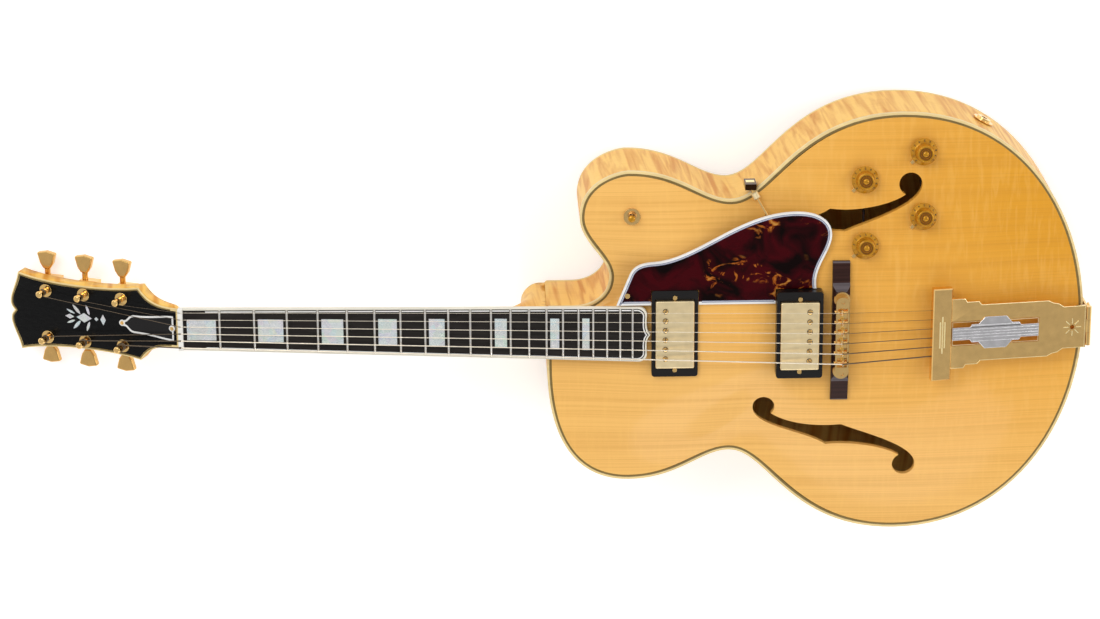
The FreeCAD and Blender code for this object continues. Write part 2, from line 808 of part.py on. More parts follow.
def nut_room():
    return placed(box(-NUT_T, 0, -NUT_HALF - 1, NUT_HALF + 1, -BOARD_T, 3 * NUT_PROUD), NECK_PL)


def neck():
    end = (JOINT_X - GLUE - NUT_X) / math.cos(math.radians(NECK_ANGLE))
    heel_t = end - HEEL_RUN
    shaft = Part.makeLoft([
        d_section(-NUT_T, board_half(-NUT_T), -BOARD_T, NECK_D_NUT),
        d_section(heel_t, board_half(heel_t), -BOARD_T, NECK_D_HEEL),
        d_section(end, board_half(end), -BOARD_T, NECK_D_HEEL),
    ], True, True)
    outside = box(-REACH, JOINT_X - GLUE, -REACH, REACH, -REACH, REACH)
    shaft = placed(shaft, NECK_PL).common(outside)
    plate = placed(head_blank(), HEAD_PL)
    cap_z = RIM_BOT + HEEL_CAP_T + GLUE
    depth = RIM_TOP - cap_z
    middle_half = (HEEL_HALF + HEEL_CAP_HALF) / 2.0
    heel = Part.makeLoft([
        heel_section(RIM_TOP + HEEL_RISE, HEEL_HALF, HEEL_RUN),
        heel_section(RIM_TOP - 0.18 * depth, HEEL_HALF, HEEL_CAP_RUN + HEEL_SHOULDER_RUN),
        heel_section(RIM_TOP - 0.5 * depth, middle_half, HEEL_CAP_RUN + HEEL_MIDDLE_RUN),
        heel_section(cap_z, HEEL_CAP_HALF, HEEL_CAP_RUN),
    ], True, False)
    riser = box(end - HEEL_RUN / 4.0, BOARD_L - BOARD_CORNER, -RISER_HALF, RISER_HALF, -HEEL_RUN, -BOARD_T)
    above = box(-REACH, REACH, -REACH, REACH, RIM_TOP + GLUE, REACH)
    riser = placed(riser, NECK_PL).common(above).cut(TOP_SEAT)
    whole = joined([shaft, plate, heel, riser])
    channel_half = TRUSS_R + GLUE
    low = truss_line() - TRUSS_R - GLUE
    channel = box(-TRUSS_REACH, heel_t + SLIP, -channel_half, channel_half, low, -BOARD_T + 1)
    cuts = [placed(channel, NECK_PL), head_pocket(), nut_room()]
    cuts += [placed(peg(BUSH_R, HEAD_BACK - 1, 1, -s, y), HEAD_PL) for s, y in POSTS]
    return whole.cut(cuts)


def truss_rod():
    end = (JOINT_X - GLUE - NUT_X) / math.cos(math.radians(NECK_ANGLE)) - HEEL_RUN
    z = truss_line()
    bar = rod(V(-TRUSS_REACH - TRUSS_NUT_L / 2.0, 0, z), V(end, 0, z), TRUSS_R)
    nut = rod(V(-TRUSS_REACH - TRUSS_NUT_L, 0, z), V(-TRUSS_REACH - GLUE, 0, z), TRUSS_NUT_R)
    return placed(bar.fuse(nut), NECK_PL)


def headstock_overlay():
    chain = inset(HEAD, HEAD_BIND + GLUE)
    plate = placed(slab(chain, -OVERLAY_T + GLUE, 0), HEAD_PL)
    holes = [placed(peg(BUSH_R, HEAD_BACK, 1, -s, y), HEAD_PL) for s, y in POSTS]
    return plate.cut(holes + [head_pocket()])


def neck_bindings():
    head = placed(ring(HEAD, 0, HEAD_BIND, -OVERLAY_T + GLUE, 0), HEAD_PL).cut(nut_room())
    sleeve = slab(board_chain(GLUE), -2 * BOARD_T, 2 * BOARD_T)
    edge = placed(crowned(board_chain(BOARD_BIND), -BOARD_T).cut(sleeve), NECK_PL)
    cap = Part.Face(heel_section(RIM_BOT, HEEL_CAP_HALF, HEEL_CAP_RUN)).extrude(V(0, 0, HEEL_CAP_T))
    return [head, edge, cap]


def cover_chain():
    x0 = -COVER_FROM
    x1 = x0 - COVER_LEN
    lobe = COVER_LOBE_R
    bell = (x0 - 0.7 * COVER_LEN, COVER_WAIST)
    neck_at = (x1 + 2 * lobe, lobe)
    treble = [
        [(x0, COVER_HALF), (x0 - 0.2 * COVER_LEN, COVER_HALF), (x0 - 0.4 * COVER_LEN, COVER_WAIST), bell],
        [bell, (x0 - 0.82 * COVER_LEN, COVER_WAIST), (neck_at[0] + lobe, 1.6 * lobe), neck_at],
        [neck_at, (x1 + 0.7 * lobe, lobe), (x1, 0.6 * lobe), (x1, 0)],
    ]
    return treble + [mirror(s) for s in reversed(treble)] + [[(x0, -COVER_HALF), (x0, COVER_HALF)]]


def cover_screws():
    return [-COVER_FROM - COVER_SCREW_IN, -COVER_FROM - COVER_LEN + COVER_LOBE_R]


def truss_rod_cover():
    plate = slab(cover_chain(), GLUE, GLUE + COVER_T)
    holes = [peg(1.2, 0, 2 * COVER_T, x) for x in cover_screws()]
    return placed(plate.cut(holes), HEAD_PL)


def string_nut():
    block = box(-NUT_T + GLUE, -GLUE, -NUT_HALF, NUT_HALF, -BOARD_T + GLUE, NUT_PROUD)
    for index in range(STRINGS):
        y = lane(NUT_SPREAD, index)
        half = GAUGES[index] / 2.0 + GLUE
        front = box(-NUT_T / 2.0, 1, y - half, y + half, NUT_ACTION - 2 * GLUE, 2 * NUT_PROUD)
        drop = (NUT_T / 2.0) * math.tan(math.radians(HEAD_ANGLE))
        wide = half + drop / 2.0
        back = box(-NUT_T - 1, -NUT_T / 2.0, y - wide, y + wide, NUT_ACTION - drop, 2 * NUT_PROUD)
        block = block.cut([front, back])
    return placed(block, NECK_PL)


# Tuners
def worm_offset():
    return GEAR_R + WORM_R + SLIP


def worm_z():
    return HEAD_BACK - GLUE - HOUSING_H / 2.0


def housing_box(s, y, wall):
    low = -s - worm_offset() - WORM_R - 2 * SLIP - HOUSING_WALL + wall
    high = -s + GEAR_R + 2 * SLIP + HOUSING_WALL - wall
    half = HOUSING_W / 2.0 - wall
    top = HEAD_BACK - GLUE
    return box(low, high, y - half, y + half, top - HOUSING_H + wall, top - wall)


def tuner_housings():
    shells = []
    for s, y in POSTS:
        side = math.copysign(1, y)
        shell = housing_box(s, y, 0).cut(housing_box(s, y, HOUSING_WALL))
        post_hole = peg(POST_R + RUN, HEAD_BACK - 2 * HOUSING_H, HEAD_BACK + 1, -s, y)
        x = -s - worm_offset()
        start = V(x, y - side * HOUSING_W, worm_z())
        shaft_hole = rod(start, start + V(0, side * 2 * HOUSING_W, 0), KEY_SHAFT_R + RUN)
        shells.append(placed(shell.cut([post_hole, shaft_hole]), HEAD_PL))
    return shells


def tuner_bushings():
    sleeves = []
    for s, y in POSTS:
        body = peg(BUSH_R - GLUE, HEAD_BACK, GLUE, -s, y)
        flange = peg(BUSH_FLANGE_R, GLUE, BUSH_FLANGE_T, -s, y)
        bore = peg(POST_R + RUN, HEAD_BACK - 1, 2 * BUSH_FLANGE_T, -s, y)
        sleeves.append(placed(body.fuse(flange).removeSplitter().cut(bore), HEAD_PL))
    return sleeves


def tuner_post(s, y):
    z = worm_z()
    low = HEAD_BACK - GLUE - HOUSING_H
    profile = [
        (0, low), (POST_R, low), (POST_R, z - GEAR_T / 2.0), (GEAR_R, z - GEAR_T / 2.0),
        (GEAR_R, z + GEAR_T / 2.0), (POST_R, z + GEAR_T / 2.0), (POST_R, WAIST_FROM - 0.5),
        (POST_WAIST_R, WAIST_FROM), (POST_WAIST_R, WAIST_TO), (POST_HEAD_R, WAIST_TO + 1),
        (POST_HEAD_R, POST_TOP - 1), (POST_HEAD_R - 1, POST_TOP), (0, POST_TOP),
    ]
    return placed(turned(profile, Placement(V(-s, y, 0), Rotation())), HEAD_PL)


def tuner_key(s, y):
    side = math.copysign(1, y)
    x = -s - worm_offset()
    z = worm_z()
    worm = rod(V(x, y - side * WORM_L / 2.0, z), V(x, y + side * WORM_L / 2.0, z), WORM_R)
    inner = y - side * (HOUSING_W / 2.0)
    shaft = rod(V(x, inner, z), V(x, side * (BUTTON_IN + 3), z), KEY_SHAFT_R)
    collar_from = V(x, side * (abs(y) + HOUSING_W / 2.0 + SLIP), z)
    collar = rod(collar_from, V(x, side * BUTTON_IN, z), 1.5 * KEY_SHAFT_R)
    corners = [
        (BUTTON_NARROW / 2.0, BUTTON_IN), (BUTTON_MID / 2.0, BUTTON_IN + BUTTON_FLARE),
        (BUTTON_WIDE / 2.0, BUTTON_OUT - BUTTON_PEAK),
    ]
    outline = [V(x + dx, side * dy, z - BUTTON_T / 2.0) for dx, dy in corners]
    outline.append(V(x, side * BUTTON_OUT, z - BUTTON_T / 2.0))
    outline += [V(x - dx, side * dy, z - BUTTON_T / 2.0) for dx, dy in reversed(corners)]
    button = Part.Face(Part.makePolygon(outline + [outline[0]])).extrude(V(0, 0, BUTTON_T))
    button = button.makeFillet(0.28 * BUTTON_T, button.Edges)
    return placed(joined([worm, shaft, collar, button]), HEAD_PL)


# Strings: straight runs, tangent arcs and wound turns made of paired arcs
def bow(start, heading, end):
    chord = end - start
    across = V(chord).normalize()
    lean = max(-1.0, min(1.0, heading.dot(across)))
    side = heading - across * lean
    if side.Length < 1e-7:
        return Part.makeLine(start, end)
    side.normalize()
    middle = (start + end) * 0.5 + side * (chord.Length / 2.0 * math.tan(math.acos(lean) / 2.0))
    return Part.Arc(start, middle, end).toShape()


def paired_arcs(start, heading, end, leaving):
    gap = end - start
    both = heading + leaving
    spare = 2 * (1 - heading.dot(leaving))
    along = gap.dot(both)
    if spare < 1e-9:
        reach = gap.dot(gap) / (2 * along)
    else:
        reach = (math.sqrt(along * along + spare * gap.dot(gap)) - along) / spare
    meet = (start + heading * reach + end - leaving * reach) * 0.5
    tangent = (end - leaving * reach) - (start + heading * reach)
    tangent.normalize()
    return [bow(start, heading, meet), bow(meet, tangent, end)]


def corner(before, at, after, radius):
    a = (before - at).normalize()
    b = (after - at).normalize()
    half = math.acos(max(-1.0, min(1.0, a.dot(b)))) / 2.0
    reach = radius / math.tan(half)
    start = at + a * reach
    end = at + b * reach
    return start, end, bow(start, a * -1, end)


def turn_point(centre, radius, angle, height):
    local = V(centre[0] + radius * math.cos(angle), centre[1] + radius * math.sin(angle), height)
    return HEAD_PL.multVec(local)


def turn_heading(radius, angle, way, fall):
    local = V(-way * radius * math.sin(angle), way * radius * math.cos(angle), -fall)
    return HEAD_PL.Rotation.multVec(local).normalize()


def winding(index, arrive):
    gauge = GAUGES[index]
    s, y = string_post(index)
    way = -math.copysign(1, y)
    radius = POST_WAIST_R + SLIP + gauge / 2.0
    pitch = gauge + WIND_GAP
    top = WAIST_TO - gauge - SLIP
    local = HEAD_PL.inverse().multVec(arrive)
    away = math.hypot(local.x + s, local.y - y)
    bearing = math.atan2(local.y - y, local.x + s)
    first = bearing + way * math.acos(radius / away)
    fall = pitch / (2 * math.pi)
    points = []
    for quarter in range(4 * TURNS + 1):
        angle = first + way * quarter * math.pi / 2.0
        height = top - quarter * pitch / 4.0 - WIND_GAP * min(1.0, quarter / 4.0)
        points.append((turn_point((-s, y), radius, angle, height), turn_heading(radius, angle, way, fall)))
    return points


def least_gap(points, gauge):
    skip = int(2 * POST_R / gauge) + 4
    best = REACH
    for i, a in enumerate(points):
        for b in points[i + skip:]:
            best = min(best, a.distanceToPoint(b))
    return best - gauge


def ball_place(index):
    depth = CROSS_FROM + 0.8 * CROSS_W - BALL_R - SLIP
    return TAIL_PL.multVec(V(-depth, lane(TAIL_SPREAD, index), -CROSS_T / 2.0))


def one_string(index):
    gauge = GAUGES[index]
    ball = ball_place(index)
    crest = V(saddle_x(index), lane(BRIDGE_SPREAD, index), string_z(saddle_x(index)) + gauge / 2.0)
    nut = nut_point(index)
    turns = winding(index, nut)
    start_turn = turns[0][0]
    a0, a1, arc_a = corner(ball, crest, nut, BEND_R)
    b0, b1, arc_b = corner(crest, nut, start_turn, BEND_R)
    run_in = (start_turn - b1).normalize()
    lead = start_turn - run_in * (2 * POST_R)
    edges = [Part.makeLine(ball, a0), arc_a, Part.makeLine(a1, b0), arc_b, Part.makeLine(b1, lead)]
    here, heading = lead, run_in
    coil = []
    for point, direction in turns[1:]:
        coil += paired_arcs(here, heading, point, direction)
        here, heading = point, direction
    coil.append(Part.makeLine(here, here + heading * gauge))
    gap = least_gap(Part.Wire(coil).discretize(Distance=gauge), gauge)
    print("string", index + 1, "least gap between turns", round(gap, 2))
    profile = Part.Wire([Part.makeCircle(gauge / 2.0, ball, a0 - ball)])
    tube = Part.Wire(edges + coil).makePipeShell([profile], True, False)
    return tube.fuse(Part.makeSphere(BALL_R, ball))


# Bridge
def base_top():
    return CROWN_Z + BASE_TALL


def bar_low():
    return base_top() + WHEEL_GAP + WHEEL_T + GLUE


def bridge_base():
    z1 = base_top()
    z2 = CROWN_Z + BASE_LOW
    low = RIM_TOP + 1
    drop = 3.0
    half = [(BASE_HALF, low), (BASE_HALF, z2 - drop), (BASE_STEP_OUT, z2), (BASE_STEP_IN, z1)]
    points = [V(0, y, z) for y, z in half] + [V(0, -y, z) for y, z in reversed(half)]
    face = Part.Face(Part.makePolygon(points + [points[0]]))
    face.translate(V(BRIDGE_X - BASE_W / 2.0, 0, 0))
    base = face.extrude(V(BASE_W, 0, 0)).cut(TOP_SEAT)
    holes = [peg(STUD_R + GLUE, z1 - STUD_SINK, z1 + 1, BRIDGE_X, y) for y in STUD_YS]
    return base.cut(holes)


def bridge_posts():
    low = base_top() - STUD_SINK + GLUE
    high = bar_low() + BAR_TALL - 0.6
    return [peg(STUD_R, low, high, BRIDGE_X, y) for y in STUD_YS]


def thumbwheel(y):
    low = base_top() + WHEEL_GAP
    wheel = peg(WHEEL_R, low, low + WHEEL_T, BRIDGE_X, y)
    bore = peg(STUD_R + RUN, low - 1, low + WHEEL_T + 1, BRIDGE_X, y)
    return wheel.cut(bore)


def bridge_bar():
    low = bar_low()
    half = BAR_WIDE / 2.0
    bar = box(BRIDGE_X - half, BRIDGE_X + half, -BAR_HALF, BAR_HALF, low, low + BAR_TALL)
    upright = [edge for edge in bar.Edges if abs(edge.tangentAt(edge.FirstParameter).z) > 0.9]
    bar = bar.makeFillet(0.45 * BAR_WIDE, upright)
    inner = half - BAR_WALL
    channel = box(BRIDGE_X - inner, BRIDGE_X + inner, -CHANNEL_HALF, CHANNEL_HALF, low + CHANNEL_FLOOR, REACH)
    holes = [peg(STUD_R + RUN, low - 1, low + BAR_TALL + 1, BRIDGE_X, y) for y in STUD_YS]
    screws = []
    for index in range(STRINGS):
        start = V(BRIDGE_X - half - 1.2, lane(BRIDGE_SPREAD, index), saddle_screw_z())
        end = V(BRIDGE_X + half - GLUE, start.y, start.z)
        holes.append(rod(start, end + V(1, 0, 0), SADDLE_SCREW_R + GLUE))
        head = rod(start, V(BRIDGE_X - half - GLUE, start.y, start.z), 2 * SADDLE_SCREW_R)
        screws.append(rod(start, end, SADDLE_SCREW_R).fuse(head).removeSplitter())
    return [bar.cut([channel] + holes)] + screws


def saddle_screw_z():
    return bar_low() + CHANNEL_FLOOR + 2.6


def saddle(index):
    x = saddle_x(index)
    y = lane(BRIDGE_SPREAD, index)
    low = bar_low() + CHANNEL_FLOOR + SLIP
    crest = string_z(x) - SADDLE_GAP
    half = SADDLE_L / 2.0
    eave = bar_low() + BAR_TALL - 0.8
    profile = [
        (x - half, low), (x + half, low), (x + half, eave),
        (x + 0.25, crest), (x - 0.25, crest), (x - half, eave),
    ]
    points = [V(px, y - SADDLE_W / 2.0, pz) for px, pz in profile]
    block = Part.Face(Part.makePolygon(points + [points[0]])).extrude(V(0, SADDLE_W, 0))
    start = V(x - SADDLE_L, y, saddle_screw_z())
    return block.cut(rod(start, start + V(2 * SADDLE_L, 0, 0), SADDLE_SCREW_R + RUN))


# Tailpiece, drawn flat with the hinge at the origin and the bridge towards negative x
def tail_chain():
    bar = CROSS_FROM
    half = PLATE_HALF
    treble = [
        (-KNUCKLE_R - SLIP, PLATE_END_HALF), (-PLATE_END_L, PLATE_END_HALF),
        (-PLATE_END_L - PLATE_STEP_L / 3.0, (PLATE_END_HALF + half) / 2.0),
        (-PLATE_END_L - 2 * PLATE_STEP_L / 3.0, (PLATE_END_HALF + half) / 2.0 + 1),
        (-PLATE_END_L - PLATE_STEP_L, half), (-bar + FIN_MID_L + 3, half), (-bar + FIN_MID_L, FIN_MID_HALF),
        (-bar + FIN_L + 2, FIN_MID_HALF), (-bar + FIN_L, FIN_HALF), (-bar - 1, FIN_HALF),
    ]
    points = treble + mirror(treble)
    return [[points[i], points[(i + 1) % len(points)]] for i in range(len(points))]


def tailpiece_frame():
    plate = slab(tail_chain(), -TAIL_T / 2.0, TAIL_T / 2.0)
    cross = box(-CROSS_FROM - CROSS_W, -CROSS_FROM, -CROSS_HALF, CROSS_HALF, -CROSS_T + TAIL_T, TAIL_T)
    cross = cross.makeChamfer(1.0, [e for e in cross.Edges if e.CenterOfMass.z > TAIL_T - 0.1])
    third = BRACKET_HALF / 3.0
    tongue = box(-2 * KNUCKLE_R - 1, 0, -third + SLIP, third - SLIP, -TAIL_T / 2.0, TAIL_T / 2.0)
    pin_room = rod(V(0, -third, 0), V(0, third, 0), HINGE_PIN_R + GLUE)
    whole = joined([plate, cross, tongue, rod(V(0, -third + SLIP, 0), V(0, third - SLIP, 0), KNUCKLE_R)])
    gutter_half = CROSS_HALF - 6
    gutter_from = -CROSS_FROM - 0.8 * CROSS_W
    gutter_to = -CROSS_FROM - 0.2 * CROSS_W
    gutter = box(gutter_from, gutter_to, -gutter_half, gutter_half, -REACH, TAIL_T - 2)
    slot = box(-CROSS_FROM, -SLOT_FROM, -SLOT_HALF, SLOT_HALF, -TAIL_T, TAIL_T)
    star = peg(STAR_HOLE_R, -TAIL_T, TAIL_T, -STAR_HOLE_AT)
    cuts = [gutter, slot, star, pin_room]
    whole = placed(whole.cut(cuts), TAIL_PL)
    lanes = []
    for index in range(STRINGS):
        ball = ball_place(index)
        x = saddle_x(index)
        crest = V(x, lane(BRIDGE_SPREAD, index), string_z(x) + GAUGES[index] / 2.0)
        ahead = ball + (crest - ball).normalize() * (2 * CROSS_W)
        lanes.append(rod(ball, ahead, GAUGES[index] / 2.0 + SLIP))
    return whole.cut(lanes)


def tailpiece_insert():
    start = -CROSS_FROM + SLIP
    end = -SLOT_FROM - SLIP
    mid = (start + end) / 2.0
    steps = [
        (start, INSERT_BAR_HALF), (mid - INSERT_MID / 2.0, INSERT_BAR_HALF),
        (mid - INSERT_MID / 2.0 + 2, INSERT_MID_HALF),
        (mid - INSERT_WIDE / 2.0 - 4, INSERT_MID_HALF), (mid - INSERT_WIDE / 2.0 + 2, INSERT_HALF),
    ]
    treble = steps + [(2 * mid - x, y) for x, y in reversed(steps)]
    points = treble + mirror(treble)
    chain = [[points[i], points[(i + 1) % len(points)]] for i in range(len(points))]
    return placed(slab(chain, TAIL_T / 2.0 + GLUE, TAIL_T / 2.0 + INSERT_T), TAIL_PL)


def tailpiece_bracket():
    x0 = TAIL_X + GLUE
    x1 = x0 + BRACKET_T
    plate = box(x0, x1, -BRACKET_HALF, BRACKET_HALF, RIM_TOP - BRACKET_DROP, HINGE.z)
    third = BRACKET_HALF / 3.0
    gap = box(x0 - 1, REACH, -third, third, HINGE.z - KNUCKLE_R - 2 * SLIP, REACH)
    arms = []
    for y0, y1 in ((-BRACKET_HALF, -third), (third, BRACKET_HALF)):
        arms.append(rod(V(HINGE.x, y0, HINGE.z), V(HINGE.x, y1, HINGE.z), KNUCKLE_R))
    whole = joined([plate.cut(gap)] + arms)
    pin_room = rod(V(HINGE.x, -REACH, HINGE.z), V(HINGE.x, REACH, HINGE.z), HINGE_PIN_R + GLUE)
    strap_z = RIM_TOP - STRAP_DROP
    screw_room = rod(V(x0 - 1, 0, strap_z), V(x1 + 1, 0, strap_z), STRAP_SCREW_R + GLUE)
    pin = rod(V(HINGE.x, -BRACKET_HALF, HINGE.z), V(HINGE.x, BRACKET_HALF, HINGE.z), HINGE_PIN_R)
    return [whole.cut([pin_room, screw_room]), pin]


def strap_button():
    base = TAIL_X + 2 * GLUE + BRACKET_T
    profile = [
        (0, -STRAP_SCREW_L), (STRAP_SCREW_R, -STRAP_SCREW_L), (STRAP_SCREW_R, 0),
        (STRAP_R - 0.5, 0), (STRAP_R - 0.5, 1.5), (STRAP_NECK_R, 3), (STRAP_NECK_R, STRAP_L - 4),
        (STRAP_R, STRAP_L - 2), (STRAP_R, STRAP_L - 1), (STRAP_R - 2, STRAP_L), (0, STRAP_L),
    ]
    return turned(profile, Placement(V(base, 0, RIM_TOP - STRAP_DROP), Rotation(V(0, 0, 1), V(1, 0, 0))))


# Pickups
def pickup_top(x):
    return string_z(x) - PICKUP_GAP


def pickup(x, offset, spread):
    top = pickup_top(x)
    half_w = PICKUP_W / 2.0
    half_l = PICKUP_L / 2.0
    shell = box(x - half_w, x + half_w, -half_l, half_l, top - PICKUP_DEEP, top)
    upright = [e for e in shell.Edges if abs(e.tangentAt(e.FirstParameter).z) > 0.9]
    soft = upright + [e for e in shell.Edges if e.CenterOfMass.z > top - 0.1]
    shell = shell.makeFillet(1.6, soft)
    skin = PICKUP_SKIN
    room_w = half_w - skin
    room_l = half_l - skin
    room = box(x - room_w, x + room_w, -room_l, room_l, top - 2 * PICKUP_DEEP, top - skin)
    poles = []
    pole_room = []
    for index in range(STRINGS):
        y = lane(spread, index)
        poles.append(peg(POLE_R, top - skin - 6, top + 0.3, x + offset, y))
        pole_room.append(peg(POLE_R + GLUE, top - skin - 6 - GLUE, top + 1, x + offset, y))
    cover = shell.cut([room] + pole_room)
    low = top - PICKUP_DEEP
    inner_w = half_w - skin - GLUE
    inner_l = half_l - skin - GLUE
    coils = box(x - inner_w, x + inner_w, -inner_l, inner_l, low, top - skin - GLUE).cut(pole_room)
    reach = half_l + LEG_L
    feet = box(x - LEG_W / 2.0, x + LEG_W / 2.0, -reach, reach, low - LEG_T, low)
    plate = box(x - half_w, x + half_w, -half_l, half_l, low - LEG_T, low)
    screw_y = half_l + LEG_L / 2.0
    holes = [peg(HEIGHT_SCREW_R + RUN, low - 5, low + 5, x, y) for y in (screw_y, -screw_y)]
    base = joined([plate, feet]).cut(holes)
    base.translate(V(0, 0, -GLUE))
    return [cover, coils, base] + poles


def ring_top(x):
    return pickup_top(x) - RING_REVEAL


def pickup_ring(x):
    top = ring_top(x)
    low = RIM_TOP + 1
    half_w = RING_W / 2.0
    half_l = RING_L / 2.0
    blank = box(x - half_w, x + half_w, -half_l, half_l, low, top)
    upright = [e for e in blank.Edges if abs(e.tangentAt(e.FirstParameter).z) > 0.9]
    blank = blank.makeFillet(RING_CORNER, upright)
    in_w = PICKUP_W / 2.0 + RING_FIT
    in_l = PICKUP_L / 2.0 + RING_FIT
    opening = box(x - in_w, x + in_w, -in_l, in_l, low - 1, top + 1)
    room = box(x - in_w, x + in_w, -in_l - LEG_L - RING_FIT, in_l + LEG_L + RING_FIT, low - 1, top - 2.2)
    screw_y = PICKUP_L / 2.0 + LEG_L / 2.0
    holes = [peg(HEIGHT_SCREW_R + RUN, low - 1, top + 1, x, y) for y in (screw_y, -screw_y)]
    return blank.cut(TOP_SEAT).cut([opening, room] + holes)


def height_screws(x):
    top = ring_top(x)
    low = pickup_top(x) - PICKUP_DEEP - LEG_T - 6
    screw_y = PICKUP_L / 2.0 + LEG_L / 2.0
    screws = []
    for y in (screw_y, -screw_y):
        shank = peg(HEIGHT_SCREW_R, low, top + GLUE, x, y)
        head = peg(HEIGHT_HEAD_R, top + GLUE, top + 1.4, x, y)
        screws.append(shank.fuse(head).removeSplitter())
    return screws


# Knobs, pots, switch and jack
def knob(place):
    nut_room = POT_NUT_R + 1.0
    hub = KNOB_LOW + POT_NUT_T
    profile = [
        (SHAFT_R + GLUE, hub), (nut_room, hub), (nut_room, KNOB_LOW), (KNOB_SKIRT_R, KNOB_LOW),
        (KNOB_SKIRT_R, KNOB_LOW + 1), (KNOB_BODY_R + 1, KNOB_LOW + KNOB_SKIRT_H),
        (KNOB_BODY_R, KNOB_LOW + KNOB_SKIRT_H + 1), (KNOB_TOP_R, KNOB_LOW + KNOB_H - 1),
        (KNOB_TOP_R - 1, KNOB_LOW + KNOB_H), (0, KNOB_LOW + KNOB_H + 0.6),
        (0, KNOB_LOW + KNOB_H - 3), (SHAFT_R + GLUE, KNOB_LOW + KNOB_H - 3),
    ]
    shaft = placed(peg(SHAFT_R, -SHAFT_DOWN, KNOB_LOW + KNOB_H - 3 - GLUE), place)
    return [turned(profile, place), shaft]


def pot(place):
    case = peg(POT_R, -POT_DROP - POT_H, -POT_DROP)
    neck_tube = peg(POT_BUSH_R, -POT_DROP - 1, POINTER_T + POT_NUT_T + 1.2)
    bore = peg(SHAFT_R + RUN, -SHAFT_DOWN - SLIP, EDGE_T * 2)
    body = joined([case, neck_tube]).cut(bore)
    lift = 0.5
    hole = peg(POT_BUSH_R + GLUE, 0, 3 * EDGE_T)
    disc = peg(POT_NUT_R, lift, lift + POINTER_T)
    finger = box(-POINTER_REACH, 0, -1.6, 1.6, lift, lift + POINTER_T)
    washer = joined([disc, finger]).cut(hole)
    washer.rotate(V(0, 0, 0), V(0, 0, 1), 45)
    nut_z = lift + POINTER_T + GLUE
    turns = [k * math.pi / 3 for k in range(7)]
    sides = [V(POT_NUT_R * math.cos(a), POT_NUT_R * math.sin(a), nut_z) for a in turns]
    nut = Part.Face(Part.makePolygon(sides)).extrude(V(0, 0, POT_NUT_T)).cut(hole)
    return [placed(piece, place) for piece in (body, washer, nut)]


def switch_body():
    half_l = SWITCH_L / 2.0
    half_w = SWITCH_W / 2.0
    block = box(-half_l, half_l, -half_w, half_w, -POT_DROP - SWITCH_H, -POT_DROP)
    tube = peg(SWITCH_BUSH_R, -POT_DROP - 1, SWITCH_BUSH_UP)
    bore = peg(SWITCH_BORE_R, -POT_DROP - SWITCH_H / 2.0, SWITCH_BUSH_UP + 1)
    seat = peg(SWITCH_BUSH_R + GLUE, 0, 2 * SWITCH_BUSH_UP)
    collar = peg(SWITCH_RING_R, 0.5, 0.5 + SWITCH_RING_T).cut(seat)
    ledge = peg(SWITCH_BORE_R + 1, LEVER_PIVOT - LEVER_BALL_R - 1.2, LEVER_PIVOT - LEVER_BALL_R - RUN)
    body = joined([joined([block, tube]).cut(bore), ledge])
    return [placed(piece, SWITCH_AT) for piece in (body, collar)]


def toggle_lever():
    ball = Part.makeSphere(LEVER_BALL_R, V(0, 0, LEVER_PIVOT))
    pin_end = SWITCH_BORE_R - SLIP
    pin = rod(V(0, -pin_end, LEVER_PIVOT), V(0, pin_end, LEVER_PIVOT), LEVER_PIN_R)
    stem = peg(LEVER_R, LEVER_PIVOT, LEVER_H)
    profile = [
        (0, LEVER_H - 8), (LEVER_R + 0.8, LEVER_H - 8),
        (LEVER_TIP_R - 0.6, LEVER_H - 5), (LEVER_TIP_R, LEVER_H - 2.4),
        (LEVER_TIP_R - 0.6, LEVER_H - 0.6), (LEVER_TIP_R - 2, LEVER_H), (0, LEVER_H + 0.2),
    ]
    return placed(joined([ball, pin, stem, turned(profile, Placement())]), SWITCH_AT)


def output_jack():
    sleeve = peg(JACK_SLEEVE_R, -JACK_L + JACK_PLATE_T, JACK_PLATE_T)
    flange = peg(JACK_PLATE_R, 0.6, JACK_PLATE_T)
    nut = peg(JACK_SLEEVE_R + JACK_NUT_W, JACK_PLATE_T, JACK_PLATE_T + JACK_NUT_T)
    bore = peg(JACK_BORE_R, -JACK_L - 1, JACK_PLATE_T + JACK_NUT_T + 1)
    return placed(joined([sleeve, flange, nut]).cut(bore), jack_place())


def wiring_harness():
    hubs = [place.multVec(V(0, 0, -POT_DROP - POT_H / 2.0)) for place in POT_PLACES]
    hubs.append(SWITCH_AT.multVec(V(0, 0, -POT_DROP - SWITCH_H / 2.0)))
    hubs.append(jack_place().multVec(V(0, 0, -JACK_L + 2 * JACK_PLATE_T)))
    keep_out = [placed(peg(POT_R + SLIP, -POT_DROP - POT_H - SLIP, 0), place) for place in POT_PLACES]
    grown = SWITCH_L / 2.0 + SLIP
    grown_w = SWITCH_W / 2.0 + SLIP
    keep_out.append(placed(box(-grown, grown, -grown_w, grown_w, -REACH / 20, 0), SWITCH_AT))
    keep_out.append(placed(peg(JACK_SLEEVE_R + SLIP, -JACK_L - 1, 0), jack_place()))
    runs = ((0, 1), (0, 2), (1, 3), (2, 3), (0, 5))
    wires = [rod(hubs[a], hubs[b], WIRE_R).cut(keep_out) for a, b in runs]
    bend = V(WAIST_X, WAIST_HALF - RIM_WALL - LINING_W - WIRE_INSET, (hubs[3].z + hubs[4].z) / 2.0)
    long_run = joined([rod(hubs[3], bend, WIRE_R), Part.makeSphere(WIRE_R, bend), rod(bend, hubs[4], WIRE_R)])
    return wires + [long_run.cut(keep_out)]


